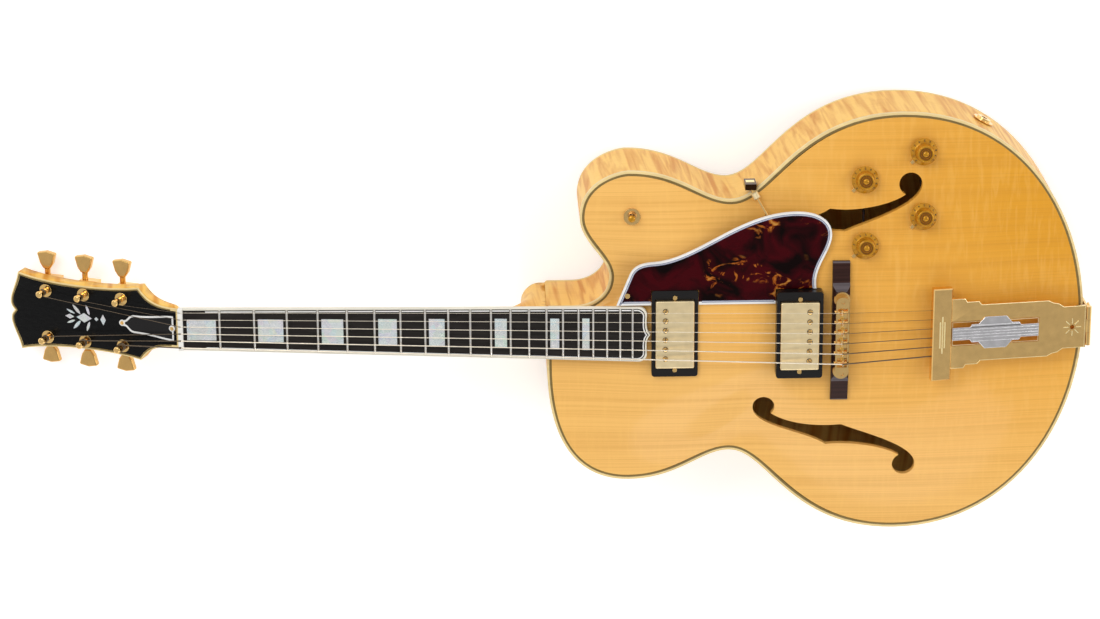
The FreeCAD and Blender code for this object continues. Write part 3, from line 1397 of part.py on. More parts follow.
# Pickguard
def guard_chain():
    low = GUARD_LOW_Y
    left = GUARD_LEFT
    tx, ty = GUARD_TOP
    nx, ny = GUARD_NOSE
    sx, sy = left + GUARD_SHOULDER[0], low + GUARD_SHOULDER[1]
    bx, by = left + GUARD_BROW[0], low + GUARD_BROW[1]
    dx, dy = nx - GUARD_DIP[0], ny - GUARD_DIP[1]
    drop = dy - low
    sweep = GUARD_RIGHT - 0.56 * (GUARD_RIGHT - dx)
    return [
        [(left, low), (sx, sy)],
        [(sx, sy), (sx + (bx - sx) / 6.0, by - (by - sy) / 4.0), (bx - (bx - sx) / 2.2, by - 0.6), (bx, by)],
        [(bx, by), (bx + 0.3 * (tx - bx), by + 0.05 * (ty - by)), (tx - 0.4 * (tx - bx), ty), (tx, ty)],
        [(tx, ty), (tx + 0.68 * (nx - tx), ty), (nx, ny + 0.55 * (ty - ny)), (nx, ny)],
        [(nx, ny), (nx, ny - (ny - dy) / 3.0), (dx, dy + 0.375 * (ny - dy)), (dx, dy)],
        [(dx, dy), (dx, dy - 0.36 * drop), (sweep, low + 0.32 * drop), (GUARD_RIGHT, low)],
        [(GUARD_RIGHT, low), (left, low)],
    ]


GUARD = guard_chain()


def ring_rooms():
    rooms = []
    for x in (NECK_PICKUP_X, BRIDGE_PICKUP_X):
        half_w = RING_W / 2.0 + RING_FIT
        half_l = RING_L / 2.0 + RING_FIT
        rooms.append(box(x - half_w, x + half_w, -half_l, half_l, 0, REACH))
    return rooms


def pickguard():
    low = RIM_TOP + GUARD_UP
    plate = slab(inset(GUARD, GUARD_BIND + GLUE), low, low + GUARD_T)
    hole = peg(GUARD_SCREW_R + GLUE, low - 1, low + 2 * GUARD_T, *GUARD_SCREW)
    return plate.cut(ring_rooms() + [hole])


def pickguard_binding():
    low = RIM_TOP + GUARD_UP
    return ring(GUARD, 0, GUARD_BIND, low, low + GUARD_T).cut(ring_rooms())


def rim_y(x):
    wall = slab(BODY, 0, 1)
    hit = wall.common(Part.makeLine(V(x, 0, 0.5), V(x, REACH, 0.5)))
    return max(vertex.Y for vertex in hit.Vertexes)


def pickguard_bracket():
    x0 = BRACKET_AT - BRACKET_BLOCK / 2.0
    x1 = BRACKET_AT + BRACKET_BLOCK / 2.0
    y0 = max(rim_y(x0), rim_y(x1)) + GLUE
    top = RIM_TOP + BRACKET_ROD_R * 3
    block = box(x0, x1, y0, y0 + BRACKET_BLOCK_T, RIM_TOP - BRACKET_BLOCK_H, top)
    under = RIM_TOP + GUARD_UP - GLUE
    foot = peg(GUARD_FOOT_R, under - GUARD_SPACER_T, under, *GUARD_FOOT)
    arm = rod(V(BRACKET_AT, y0 + BRACKET_BLOCK_T / 2.0, top - 2 * BRACKET_ROD_R),
              V(GUARD_FOOT[0], GUARD_FOOT[1], under - GUARD_SPACER_T / 2.0), BRACKET_ROD_R)
    sx, sy = GUARD_SCREW
    half = GUARD_SPACER_W / 2.0
    spacer = box(sx - half, sx + half, RISER_HALF + GLUE, sy + half, under - GUARD_SPACER_T, under)
    board_room = placed(box(-REACH, REACH, -NUT_WIDTH, NUT_WIDTH, -BOARD_T - GLUE, BOARD_T), NECK_PL)
    spacer = spacer.cut([peg(GUARD_SCREW_R + GLUE, 0, REACH, sx, sy), board_room])
    return [joined([block, arm, foot]), spacer]


def screws():
    low = RIM_TOP + GUARD_UP
    group = height_screws(NECK_PICKUP_X) + height_screws(BRIDGE_PICKUP_X)
    shank = peg(GUARD_SCREW_R, low - GUARD_SPACER_T, low + GUARD_T + GLUE, *GUARD_SCREW)
    head = peg(1.7 * GUARD_SCREW_R, low + GUARD_T + GLUE, low + GUARD_T + 1.2, *GUARD_SCREW)
    group.append(shank.fuse(head).removeSplitter())
    for x in cover_screws():
        stem = peg(1.1, GLUE, GLUE + COVER_T, x)
        cap = peg(1.9, GLUE + COVER_T, COVER_T + 1.0, x)
        group.append(placed(stem.fuse(cap).removeSplitter(), HEAD_PL))
    return group


# Output
def write(name, shapes):
    solids = shapes if isinstance(shapes, list) else [shapes]
    pieces = [solid for shape in solids for solid in shape.Solids]
    whole = pieces[0] if len(pieces) == 1 else Part.makeCompound(pieces)
    if not whole.isValid():
        print("not valid:", name)
    whole.exportStep("parts/" + name + ".step")


def point_text(v):
    return [round(v.x / 1000.0, 6), round(v.y / 1000.0, 6), round(v.z / 1000.0, 6)]


def axis_text(v):
    return [round(v.x, 6), round(v.y, 6), round(v.z, 6)]


def print_frames():
    up = V(0, 0, 1)
    for number, (s, y) in enumerate(POSTS, 1):
        post = HEAD_PL.multVec(V(-s, y, 0))
        print("tuner", number, "post", point_text(post), axis_text(HEAD_PL.Rotation.multVec(up)))
        print("tuner", number, "key", point_text(HEAD_PL.multVec(V(-s - worm_offset(), y, worm_z()))))
    for number, place in enumerate(POT_PLACES, 1):
        print("knob", number, point_text(place.Base), axis_text(place.Rotation.multVec(up)))
    pivot = SWITCH_AT.multVec(V(0, 0, LEVER_PIVOT))
    print("toggle", point_text(pivot), axis_text(SWITCH_AT.Rotation.multVec(V(0, 1, 0))))
    spot = jack_place()
    print("jack", point_text(spot.multVec(V(0, 0, JACK_PLATE_T + 2))), axis_text(spot.Rotation.multVec(up)))
    print("thumbwheel", point_text(V(BRIDGE_X, STUD_YS[0], bar_low())))
    print("strap", point_text(V(TAIL_X + BRACKET_T + STRAP_L, 0, RIM_TOP - STRAP_DROP)))
    print("nut", point_text(NECK_PL.Base))


def main():
    os.makedirs("parts", exist_ok=True)
    write("top_plate", top_plate())
    write("back_plate", back_plate())
    write("rims", rims())
    write("inner_frame", inner_frame())
    write("body_bindings", body_bindings())
    write("neck", neck())
    write("neck_bindings", neck_bindings())
    write("truss_rod", truss_rod())
    write("headstock_overlay", headstock_overlay())
    write("truss_rod_cover", truss_rod_cover())
    write("string_nut", string_nut())
    write("fingerboard", fingerboard())
    write("frets", frets())
    write("pearl_inlays", pearl_inlays())
    write("tuner_housings", tuner_housings())
    write("tuner_bushings", tuner_bushings())
    for number, (s, y) in enumerate(POSTS, 1):
        write("tuner_post_%d" % number, tuner_post(s, y))
        write("tuner_key_%d" % number, tuner_key(s, y))
    write("strings", [one_string(index) for index in range(STRINGS)])
    write("bridge_base", bridge_base())
    write("bridge_posts", bridge_posts())
    write("thumbwheel_treble", thumbwheel(STUD_YS[0]))
    write("thumbwheel_bass", thumbwheel(STUD_YS[1]))
    write("bridge_bar", bridge_bar())
    for index in range(STRINGS):
        write("saddle_%d" % (index + 1), saddle(index))
    write("tailpiece_frame", tailpiece_frame())
    write("tailpiece_insert", tailpiece_insert())
    write("tailpiece_bracket", tailpiece_bracket())
    write("strap_button", strap_button())
    write("neck_pickup", pickup(NECK_PICKUP_X, -POLE_OFFSET, POLE_SPREAD_NECK))
    write("bridge_pickup", pickup(BRIDGE_PICKUP_X, POLE_OFFSET, POLE_SPREAD_BRIDGE))
    write("pickup_rings", [pickup_ring(NECK_PICKUP_X), pickup_ring(BRIDGE_PICKUP_X)])
    for number, place in enumerate(POT_PLACES, 1):
        write("knob_%d" % number, knob(place))
    write("pots", [piece for place in POT_PLACES for piece in pot(place)])
    write("switch_body", switch_body())
    write("toggle_lever", toggle_lever())
    write("output_jack", output_jack())
    write("wiring_harness", wiring_harness())
    write("pickguard", pickguard())
    write("pickguard_binding", pickguard_binding())
    write("pickguard_bracket", pickguard_bracket())
    write("small_screws", screws())
    print_frames()


main()
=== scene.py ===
import json
import logging
import math
from dataclasses import dataclass
from enum import Enum
from functools import cache
from typing import Callable, Optional, Sequence, Union

import bmesh
import bpy
from mathutils import Matrix, Vector
from mathutils.bvhtree import BVHTree


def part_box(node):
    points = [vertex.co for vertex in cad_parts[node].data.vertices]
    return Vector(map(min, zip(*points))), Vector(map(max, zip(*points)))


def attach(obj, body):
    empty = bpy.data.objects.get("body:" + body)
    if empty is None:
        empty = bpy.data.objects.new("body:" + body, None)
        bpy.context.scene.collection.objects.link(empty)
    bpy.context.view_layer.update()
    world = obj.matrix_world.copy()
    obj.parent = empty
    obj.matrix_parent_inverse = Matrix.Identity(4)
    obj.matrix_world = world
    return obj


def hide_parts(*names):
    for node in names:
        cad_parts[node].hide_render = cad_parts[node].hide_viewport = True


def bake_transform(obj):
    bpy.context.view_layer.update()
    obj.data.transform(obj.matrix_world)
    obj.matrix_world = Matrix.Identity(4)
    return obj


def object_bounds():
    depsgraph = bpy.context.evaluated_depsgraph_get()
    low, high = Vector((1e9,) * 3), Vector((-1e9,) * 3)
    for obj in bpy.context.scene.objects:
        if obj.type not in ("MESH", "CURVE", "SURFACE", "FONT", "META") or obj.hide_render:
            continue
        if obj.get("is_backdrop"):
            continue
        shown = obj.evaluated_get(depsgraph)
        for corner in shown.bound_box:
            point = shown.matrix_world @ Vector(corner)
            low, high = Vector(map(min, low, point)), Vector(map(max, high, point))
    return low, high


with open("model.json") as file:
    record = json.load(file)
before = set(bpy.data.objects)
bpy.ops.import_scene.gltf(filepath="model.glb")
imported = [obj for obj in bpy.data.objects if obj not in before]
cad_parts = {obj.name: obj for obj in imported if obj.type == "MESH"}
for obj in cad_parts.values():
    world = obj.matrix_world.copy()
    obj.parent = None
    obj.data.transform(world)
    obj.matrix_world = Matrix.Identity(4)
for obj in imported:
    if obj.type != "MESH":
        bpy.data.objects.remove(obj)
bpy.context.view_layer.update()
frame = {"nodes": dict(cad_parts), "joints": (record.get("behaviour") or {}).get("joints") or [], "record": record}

MM = 0.001
ROOT = "guitar"
LOG = logging.getLogger("archtop")

# Doubles nearer than this are welded, and faces that bend less than this are joined
WELD = 0.002 * MM
BEND = math.radians(0.4)
# Angles in degrees past which an edge is hard: on most pieces, on carved or turned ones, and on
# ones with flat facets
SHARP = 35.0
CARVED = 40.0
FACETED = 20.0

BMesh = bmesh.types.BMesh
Mesh = bpy.types.Mesh
Piece = bpy.types.Object
Socket = bpy.types.NodeSocket
Tree = bpy.types.GeometryNodeTree
Value = Union[Socket, float, tuple]
Point = tuple[float, float]
Triple = tuple[float, float, float]
Colour = Triple
Chain = list[list[Point]]
Stops = tuple[tuple[float, Colour], ...]

BODY_OF = {
    node: body
    for body, nodes in frame["record"]["behaviour"]["bodies"].items()
    for node in nodes
}
SLOT_OF = {part["node"]: part["material_slot"] for part in frame["record"]["subparts"]}
JOINTS = {joint["name"]: joint for joint in frame["joints"]}


class Side(Enum):
    """The two sides of the centre line."""

    TREBLE = 1
    BASS = -1


class Grain(Enum):
    """The way the figure of a wood runs: how much each axis is squeezed."""

    RIM = (150.0, 150.0, 10.0)
    PLATE = (105.0, 8.0, 4.0)
    NECK = (120.0, 12.0, 12.0)


# Shared sizes, in millimetres, as the solids have them
@dataclass(frozen=True)
class Datum:
    """The heights, tilts and string lines that several sub-assemblies share."""

    scale: float = 647.7
    neck_angle: float = 4.4
    head_angle: float = 17.0
    head_drop: float = 3.4
    nut_t: float = 5.0
    joint_x: float = -287.0
    rim_top: float = 102.7
    rim_bottom: float = 17.0
    board_overstand: float = 15.7
    bridge_x: float = 1.0
    neck_pickup_x: float = -161.8
    bridge_pickup_x: float = -39.8
    strings: int = 6

    def neck_place(self) -> Matrix:
        """The frame of the fingerboard, with its origin at the nut's front edge.

        Returns:
            The frame, in millimetres.
        """
        tilt = math.radians(self.neck_angle)
        nut_x = -self.scale * math.cos(tilt)
        nut_z = self.rim_top + self.board_overstand - (self.joint_x - nut_x) * math.tan(tilt)
        return Matrix.Translation((nut_x, 0, nut_z)) @ Matrix.Rotation(-tilt, 4, "Y")

    def head_place(self) -> Matrix:
        """The frame of the headstock's face, with its origin behind the nut.

        Returns:
            The frame, in millimetres.
        """
        origin = self.neck_place() @ Vector((-self.nut_t, 0, -self.head_drop))
        tilt = math.radians(-self.neck_angle - self.head_angle)
        return Matrix.Translation(origin) @ Matrix.Rotation(tilt, 4, "Y")

    def lane(self, spread: float, index: int) -> float:
        """The y of a string in a row that is spread wide."""
        return spread / 2 - spread * index / (self.strings - 1)


DATUM = Datum()


# Finishes
class Board:
    """One material's nodes, laid and wired in short calls."""

    def __init__(self, name: str) -> None:
        """Starts a material with an empty principled shader.

        Args:
            name: The material's name.
        """
        self.material = bpy.data.materials.new(name)
        self.material.use_nodes = True
        self.nodes = self.material.node_tree.nodes
        self.links = self.material.node_tree.links
        self.shader = self.nodes["Principled BSDF"]
        self.coords = self.add("ShaderNodeTexCoord").outputs["Object"]

    def add(self, kind: str, inputs: Optional[dict] = None, **settings: object) -> bpy.types.Node:
        """Adds one node.

        Args:
            kind: The node's type.
            inputs: Values or sockets for its inputs, by name or index.
            settings: Properties of the node.

        Returns:
            The new node.
        """
        node = self.nodes.new(kind)
        for key, value in settings.items():
            setattr(node, key, value)
        for key, value in (inputs or {}).items():
            self.feed(node.inputs[key], value)
        return node

    def feed(self, socket: Socket, value: Value) -> None:
        """Links a socket to another, or sets its value.

        Args:
            socket: The socket.
            value: What it gets.
        """
        if isinstance(value, Socket):
            self.links.new(value, socket)
        else:
            socket.default_value = value

    def stretched(self, scale: Triple, turn: Triple = (0, 0, 0)) -> Socket:
        """The object's coordinates, scaled and turned."""
        inputs = {"Vector": self.coords, "Scale": scale, "Rotation": turn}
        return self.add("ShaderNodeMapping", inputs).outputs["Vector"]

    def noise(self, vector: Value, scale: float, detail: float = 3.0, warp: float = 0.0) -> Socket:
        """Cloudy noise between 0 and 1."""
        inputs = {"Vector": vector, "Scale": scale, "Detail": detail, "Distortion": warp}
        return self.add("ShaderNodeTexNoise", inputs).outputs["Fac"]

    def ramp(self, level: Value, stops: Stops) -> Socket:
        """A colour for each level.

        Args:
            level: The socket that picks the colour.
            stops: Positions with their colours.

        Returns:
            The colour's socket.
        """
        node = self.add("ShaderNodeValToRGB", {"Fac": level})
        band = node.color_ramp.elements
        for index, (place, colour) in enumerate(stops):
            stop = band[index] if index < 2 else band.new(place)
            stop.position = place
            stop.color = (*colour, 1.0)
        return node.outputs["Color"]

    def mix(self, level: Value, low: Value, high: Value, blend: str = "MIX") -> Socket:
        """One colour over another.

        Args:
            level: How much of the upper colour shows.
            low: The lower colour.
            high: The upper colour.
            blend: How they are blended.

        Returns:
            The colour's socket.
        """
        node = self.add("ShaderNodeMix", data_type="RGBA", blend_type=blend)
        self.feed(node.inputs[0], level)
        for socket, value in ((node.inputs[6], low), (node.inputs[7], high)):
            self.feed(socket, (*value, 1.0) if isinstance(value, tuple) else value)
        return node.outputs[2]

    def vector(self, operation: str, first: Value, second: Value = (0, 0, 0)) -> Socket:
        """What an operation makes of two vectors."""
        node = self.add("ShaderNodeVectorMath", {0: first, 1: second}, operation=operation)
        return node.outputs["Value" if operation == "LENGTH" else "Vector"]

    def number(self, operation: str, first: Value, second: Value = 0.0) -> Socket:
        """What an operation makes of two numbers."""
        node = self.add("ShaderNodeMath", {0: first, 1: second}, operation=operation)
        return node.outputs["Value"]

    def span(self, level: Value, low: float, high: float) -> Socket:
        """A level between 0 and 1, moved to run from low to high."""
        node = self.add("ShaderNodeMapRange", {"Value": level, "To Min": low, "To Max": high})
        return node.outputs["Result"]

    def level(self, source: Value, low: float, high: float, top: float) -> Socket:
        """A level that is 0 below low, and rises to top at high."""
        inputs = {"Value": source, "From Min": low, "From Max": high, "To Min": 0.0, "To Max": top}
        return self.add("ShaderNodeMapRange", inputs).outputs["Result"]

    def bump(self, height: Value, strength: float, depth: float = 0.0004) -> None:
        """Roughens the shader's normal by a height."""
        inputs = {"Height": height, "Strength": strength, "Distance": depth}
        self.surface(Normal=self.add("ShaderNodeBump", inputs).outputs["Normal"])

    def surface(self, **values: Value) -> None:
        """Sets the shader's own sockets, with underscores for spaces in their names."""
        for key, value in values.items():
            self.feed(self.shader.inputs[key.replace("_", " ")], value)


@dataclass(frozen=True)
class Finish:
    """A finish with a name and one main colour."""

    name: str
    colour: Colour = (0.5, 0.5, 0.5)

    def lay(self, board: Board) -> None:
        """Wires the finish's nodes.

        Args:
            board: The material's nodes.
        """
        cloud = board.noise(board.coords, 60.0)
        deep = tuple(0.82 * value for value in self.colour)
        board.surface(
            Base_Color=board.ramp(cloud, ((0.3, deep), (0.75, self.colour))),
            Roughness=board.span(cloud, 0.4, 0.6),
        )
        board.bump(cloud, 0.1)

    def material(self) -> bpy.types.Material:
        """The finish's material, made once.

        Returns:
            The material.
        """
        title = self.name + "_finish"
        if title not in bpy.data.materials:
            self.lay(Board(title))
        return bpy.data.materials[title]


@dataclass(frozen=True)
class SpruceTop(Finish):
    """Straight-grained spruce under a honey gloss."""

    pale: Colour = (0.905, 0.510, 0.140)
    middle: Colour = (0.845, 0.425, 0.072)
    deep: Colour = (0.745, 0.335, 0.022)
    line: Colour = (0.54, 0.225, 0.024)
    silk: Colour = (0.95, 0.56, 0.15)
    deep_at: Triple = (0.21, 0.12, 0.0)
    deep_reach: Triple = (2.6, 3.2, 0.0)

    def lay(self, board: Board) -> None:
        """Wires grain along the body, cross silk and a deeper tone near the tail.

        Args:
            board: The material's nodes.
        """
        fine = board.noise(board.stretched((4.0, 700.0, 4.0)), 1.0, 3.0)
        broad = board.noise(board.stretched((1.6, 95.0, 2.0)), 1.0, 3.0)
        silk = board.noise(board.stretched((210.0, 30.0, 10.0)), 1.0, 4.0, 0.5)
        away = board.vector("SUBTRACT", board.coords, self.deep_at)
        reach = board.vector("LENGTH", board.vector("MULTIPLY", away, self.deep_reach))
        tone = board.ramp(reach, ((0.12, self.deep), (0.55, self.middle), (1.0, self.pale)))
        tone = board.mix(board.level(fine, 0.44, 0.74, 0.30), tone, self.line)
        tone = board.mix(board.level(broad, 0.48, 0.72, 0.20), tone, self.line)
        tone = board.mix(board.level(silk, 0.48, 0.75, 0.26), tone, self.silk)
        board.surface(
            Base_Color=tone, Roughness=board.span(silk, 0.34, 0.46),
            Specular_IOR_Level=0.15, Coat_Weight=0.3, Coat_Roughness=0.1,
        )
        board.bump(fine, 0.05)


@dataclass(frozen=True)
class FlamedMaple(Finish):
    """Maple with a rippled figure under gloss."""

    grain: Grain = Grain.RIM
    pale: Colour = (1.0, 0.62, 0.150)
    deep: Colour = (0.74, 0.310, 0.040)
    pore: Colour = (0.52, 0.25, 0.06)
    plate_lean: Triple = (0, 0, 0.16)
    strip_lean: Triple = (0, 0.07, 0)

    def booked(self, board: Board) -> Socket:
        """The coordinates mirrored on the centre line, as the two halves of a plate are.

        Args:
            board: The material's nodes.

        Returns:
            The mirrored coordinates.
        """
        split = board.add("ShaderNodeSeparateXYZ", {0: board.coords}).outputs
        halves = {"X": split["X"], "Y": board.number("ABSOLUTE", split["Y"]), "Z": split["Z"]}
        return board.add("ShaderNodeCombineXYZ", halves).outputs[0]

    def lay(self, board: Board) -> None:
        """Wires flame stripes that lean a little, with fine pores.

        Args:
            board: The material's nodes.
        """
        place, lean = board.coords, self.strip_lean
        if self.grain is Grain.PLATE:
            place, lean = self.booked(board), self.plate_lean
        leant = board.add(
            "ShaderNodeVectorRotate", {"Vector": place, "Rotation": lean},
            rotation_type="EULER_XYZ", invert=True,
        )
        squeezed = board.add(
            "ShaderNodeMapping", {"Vector": leant.outputs[0], "Scale": self.grain.value},
        )
        flame = board.noise(squeezed.outputs[0], 1.0, 2.0, 0.5)
        pores = board.noise(board.stretched((16.0, 480.0, 480.0)), 1.0, 3.0)
        tone = board.ramp(flame, ((0.32, self.deep), (0.57, self.pale)))
        tone = board.mix(board.span(pores, 0.0, 0.3), tone, self.pore)
        board.surface(
            Base_Color=tone, Roughness=board.span(pores, 0.36, 0.5),
            Specular_IOR_Level=0.12, Coat_Weight=0.1, Coat_Roughness=0.08,
        )
        board.bump(pores, 0.04)


@dataclass(frozen=True)
class Ebony(Finish):
    """Black wood with faint brown streaks along the board."""

    colour: Colour = (0.013, 0.011, 0.010)
    gloss: float = 0.42
    coat: float = 0.0

    def lay(self, board: Board) -> None:
        """Wires streaks and open pores.

        Args:
            board: The material's nodes.
        """
        streak = board.noise(board.stretched((9.0, 420.0, 420.0)), 1.0, 4.0, 0.2)
        light = tuple(2.1 * value for value in self.colour)
        board.surface(
            Base_Color=board.ramp(streak, ((0.35, self.colour), (0.8, light))),
            Roughness=board.span(streak, self.gloss - 0.08, self.gloss + 0.08),
            Specular_IOR_Level=0.12, Coat_Weight=self.coat, Coat_Roughness=0.06,
        )
        board.bump(streak, 0.12)


@dataclass(frozen=True)
class Celluloid(Finish):
    """Cast plastic: binding, black trim and bone, with a faint cloud."""

    rough: float = 0.3
    coat: float = 0.1

    def lay(self, board: Board) -> None:
        """Wires a faint cloud and an uneven polish.

        Args:
            board: The material's nodes.
        """
        cloud = board.noise(board.stretched((30.0, 160.0, 160.0)), 1.0, 3.0)
        shade = tuple(0.84 * value for value in self.colour)
        board.surface(
            Base_Color=board.ramp(cloud, ((0.3, shade), (0.7, self.colour))),
            Roughness=board.span(cloud, self.rough - 0.08, self.rough + 0.08),
            Specular_IOR_Level=0.25, Coat_Weight=self.coat, Coat_Roughness=0.08,
        )
        board.bump(cloud, 0.04, 0.0002)


@dataclass(frozen=True)
class Pearl(Finish):
    """Mother-of-pearl in broken leaves of grey, blue and rose."""

    leaves: Stops = (
        (0.0, (0.28, 0.38, 0.42)), (0.35, (0.52, 0.58, 0.60)),
        (0.6, (0.68, 0.68, 0.66)), (1.0, (0.82, 0.84, 0.82)),
    )

    def lay(self, board: Board) -> None:
        """Wires warped cells with a nacre shimmer.

        Args:
            board: The material's nodes.
        """
        warp = board.noise(board.coords, 90.0, 3.0, 1.4)
        cells = board.add(
            "ShaderNodeTexVoronoi", {"Vector": board.coords, "Scale": 130.0, "Randomness": 1.0},
        )
        bent = board.vector("ADD", board.coords, warp)
        ripple = board.add(
            "ShaderNodeTexWave", {"Vector": bent, "Scale": 40.0, "Distortion": 9.0, "Detail": 3.0},
        ).outputs["Fac"]
        sheet = board.ramp(ripple, self.leaves)
        tone = board.mix(0.22, sheet, cells.outputs["Color"], "SOFT_LIGHT")
        board.surface(
            Base_Color=tone, Roughness=board.span(warp, 0.12, 0.28),
            Specular_IOR_Level=0.7, Coat_Weight=0.7, Coat_Roughness=0.04,
        )
        board.bump(ripple, 0.03, 0.0002)


@dataclass(frozen=True)
class Plate(Finish):
    """Plated metal with an uneven polish."""

    rough: float = 0.2
    spread: float = 0.08
    mark: float = 0.04

    def lay(self, board: Board) -> None:
        """Wires fine polishing marks and a cloud of wear.

        Args:
            board: The material's nodes.
        """
        cloud = board.noise(board.coords, 140.0, 4.0)
        marks = board.noise(board.stretched((900.0, 120.0, 120.0)), 1.0, 2.0)
        worn = tuple(min(1.0, 1.12 * value) for value in self.colour)
        board.surface(
            Base_Color=board.ramp(cloud, ((0.3, self.colour), (0.8, worn))), Metallic=1.0,
            Roughness=board.span(cloud, self.rough - self.spread / 2, self.rough + self.spread),
        )
        board.bump(marks, self.mark, 0.0001)


@dataclass(frozen=True)
class Tortoise(Finish):
    """Dark mottled plastic with amber flecks under gloss."""

    smoke: Stops = (
        (0.36, (0.004, 0.001, 0.001)), (0.47, (0.020, 0.001, 0.002)), (0.60, (0.046, 0.001, 0.003)),
    )
    amber: Stops = (
        (0.52, (0.10, 0.010, 0.004)), (0.60, (0.32, 0.080, 0.008)), (0.70, (0.50, 0.24, 0.05)),
    )

    def lay(self, board: Board) -> None:
        """Wires red-black blotches and amber clouds that gather at the nose and the lower edge.

        Args:
            board: The material's nodes.
        """
        blot = board.noise(board.coords, 30.0, 4.0, 1.2)
        cloud = board.noise(board.stretched((62.0, 80.0, 62.0), (0, 0, 0.9)), 1.0, 5.0, 1.6)
        place = board.noise(board.coords, 26.0, 1.0)
        split = board.add("ShaderNodeSeparateXYZ", {0: board.coords})
        gather = board.number("ADD", place, board.level(split.outputs["X"], -0.10, -0.01, 0.13))
        shown = board.number(
            "MULTIPLY", board.level(cloud, 0.53, 0.58, 1.0), board.level(gather, 0.56, 0.62, 1.0),
        )
        dark = board.ramp(blot, self.smoke)
        fleck = board.ramp(cloud, self.amber)
        tone = board.mix(shown, dark, fleck)
        board.surface(
            Base_Color=tone, Roughness=board.span(cloud, 0.2, 0.34),
            Specular_IOR_Level=0.05, Coat_Weight=0.03, Coat_Roughness=0.04,
        )
        board.bump(cloud, 0.02, 0.0002)


@dataclass(frozen=True)
class AmberPlastic(Finish):
    """Clear amber plastic over gold paint."""

    honey: Stops = ((0.3, (0.44, 0.185, 0.006)), (0.75, (0.60, 0.285, 0.013)))

    def lay(self, board: Board) -> None:
        """Wires a deep honey tone with swirls.

        Args:
            board: The material's nodes.
        """
        swirl = board.noise(board.coords, 220.0, 3.0, 1.0)
        board.surface(
            Base_Color=board.ramp(swirl, self.honey), Roughness=board.span(swirl, 0.18, 0.32),
            Metallic=0.45, Specular_IOR_Level=0.2, Coat_Weight=0.25, Coat_Roughness=0.03,
        )
        board.bump(swirl, 0.03, 0.0002)


SPRUCE = SpruceTop("spruce")
RIM_MAPLE = FlamedMaple("rim_maple", grain=Grain.RIM)
BACK_MAPLE = FlamedMaple("back_maple", grain=Grain.PLATE)
NECK_MAPLE = FlamedMaple("neck_maple", grain=Grain.NECK)
INNER = Finish("bare_wood", (0.16, 0.075, 0.035))
EBONY = Ebony("ebony")
PLUM = Ebony("bridge_ebony", (0.024, 0.010, 0.008), 0.3)
LACQUER = Ebony("head_lacquer", (0.003, 0.003, 0.003), 0.25, 0.02)
# A lighter ebony that paints a sheen on the bridge base's sloped facets
EBONY_SHEEN = Ebony("burnished_ebony", (0.075, 0.062, 0.066), 0.34)
CREAM = Celluloid("cream_binding", (0.88, 0.67, 0.31), 0.35, 0.05)
IVORY = Celluloid("ivory_binding", (0.84, 0.80, 0.68), 0.35, 0.05)
OLIVE = Celluloid("olive_line", (0.235, 0.160, 0.050))
WHITE = Celluloid("white_line", (0.88, 0.87, 0.84))
GREY = Celluloid("grey_line", (0.22, 0.245, 0.36))
BLACK = Celluloid("black_plastic", (0.007, 0.006, 0.006), 0.3, 0.1)
BONE = Celluloid("bone", (0.88, 0.86, 0.80), 0.4, 0.1)
PEARL = Pearl("pearl")
GOLD = Plate("gold_plate", (0.84, 0.55, 0.21), 0.13)
SATIN = Plate("champagne_cover", (0.85, 0.69, 0.41), 0.36, 0.06, 0.02)
# A pale copy of the gold plating that paints highlight: on saddles, beads, rays, engraved lines and the clasp
GOLD_HIGHLIGHT = Plate("bright_gold", (1.0, 0.82, 0.46), 0.34, 0.06)
SILVER = Plate("silver_insert", (0.62, 0.61, 0.62), 0.2)
WOUND = Plate("string_steel", (0.84, 0.75, 0.61), 0.3)
# A dark steel that paints shade: on the strings behind the nut and past the bridge, on fret flanks and round the
# pole screws
STEEL_SHADE = Plate("shaded_steel", (0.15, 0.115, 0.08), 0.3)
NICKEL = Plate("nickel", (0.87, 0.85, 0.81), 0.2, 0.06, 0.006)
# A dark gold that paints reflection of dark surroundings, on the clasp's block
GOLD_DARK_REFLECTION = Plate("dark_bronze", (0.045, 0.020, 0.008), 0.2)
KEY_GOLD = Plate("key_gold", (0.70, 0.43, 0.15), 0.18)
STEEL = Plate("plain_steel", (0.62, 0.62, 0.63), 0.3)
TORTOISE = Tortoise("tortoise")
AMBER = AmberPlastic("amber")
# A dark amber that paints shade in the grooves of the knobs' dish
AMBER_SHADE = Celluloid("deep_amber", (0.20, 0.075, 0.006), 0.25, 0.1)
CABLE = Celluloid("cable", (0.012, 0.006, 0.003), 0.7, 0.0)


# Making and publishing meshes
def linked(name: str, data: bpy.types.ID) -> Piece:
    """Puts a new object into the scene.

    Args:
        name: Its name.
        data: Its mesh, curve, lamp or camera.

    Returns:
        The object.
    """
    thing = bpy.data.objects.new(name, data)
    bpy.context.scene.collection.objects.link(thing)
    return thing


def publish(name: str, mesh: Mesh, body: str, slot: str, *nodes: str) -> Piece:
    """Puts a finished mesh into the scene as a piece.

    Args:
        name: The piece's name.
        mesh: Its mesh, in the row frame, with its material set.
        body: The body that it rides on.
        slot: The record's material slot.
        nodes: The CAD nodes that it stands for.

    Returns:
        The piece.
    """
    mesh.name = name
    piece = linked(name, mesh)
    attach(piece, body)
    settle(piece, slot, *nodes)
    return piece


def settle(piece: Piece, slot: str, *nodes: str) -> None:
    """Hides the CAD nodes that a piece stands for, and logs it.

    Args:
        piece: The piece.
        slot: The record's material slot; not used.
        nodes: The CAD nodes.
    """
    if nodes:
        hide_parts(*nodes)
    LOG.info("%s: %d faces", piece.name, len(piece.data.polygons))


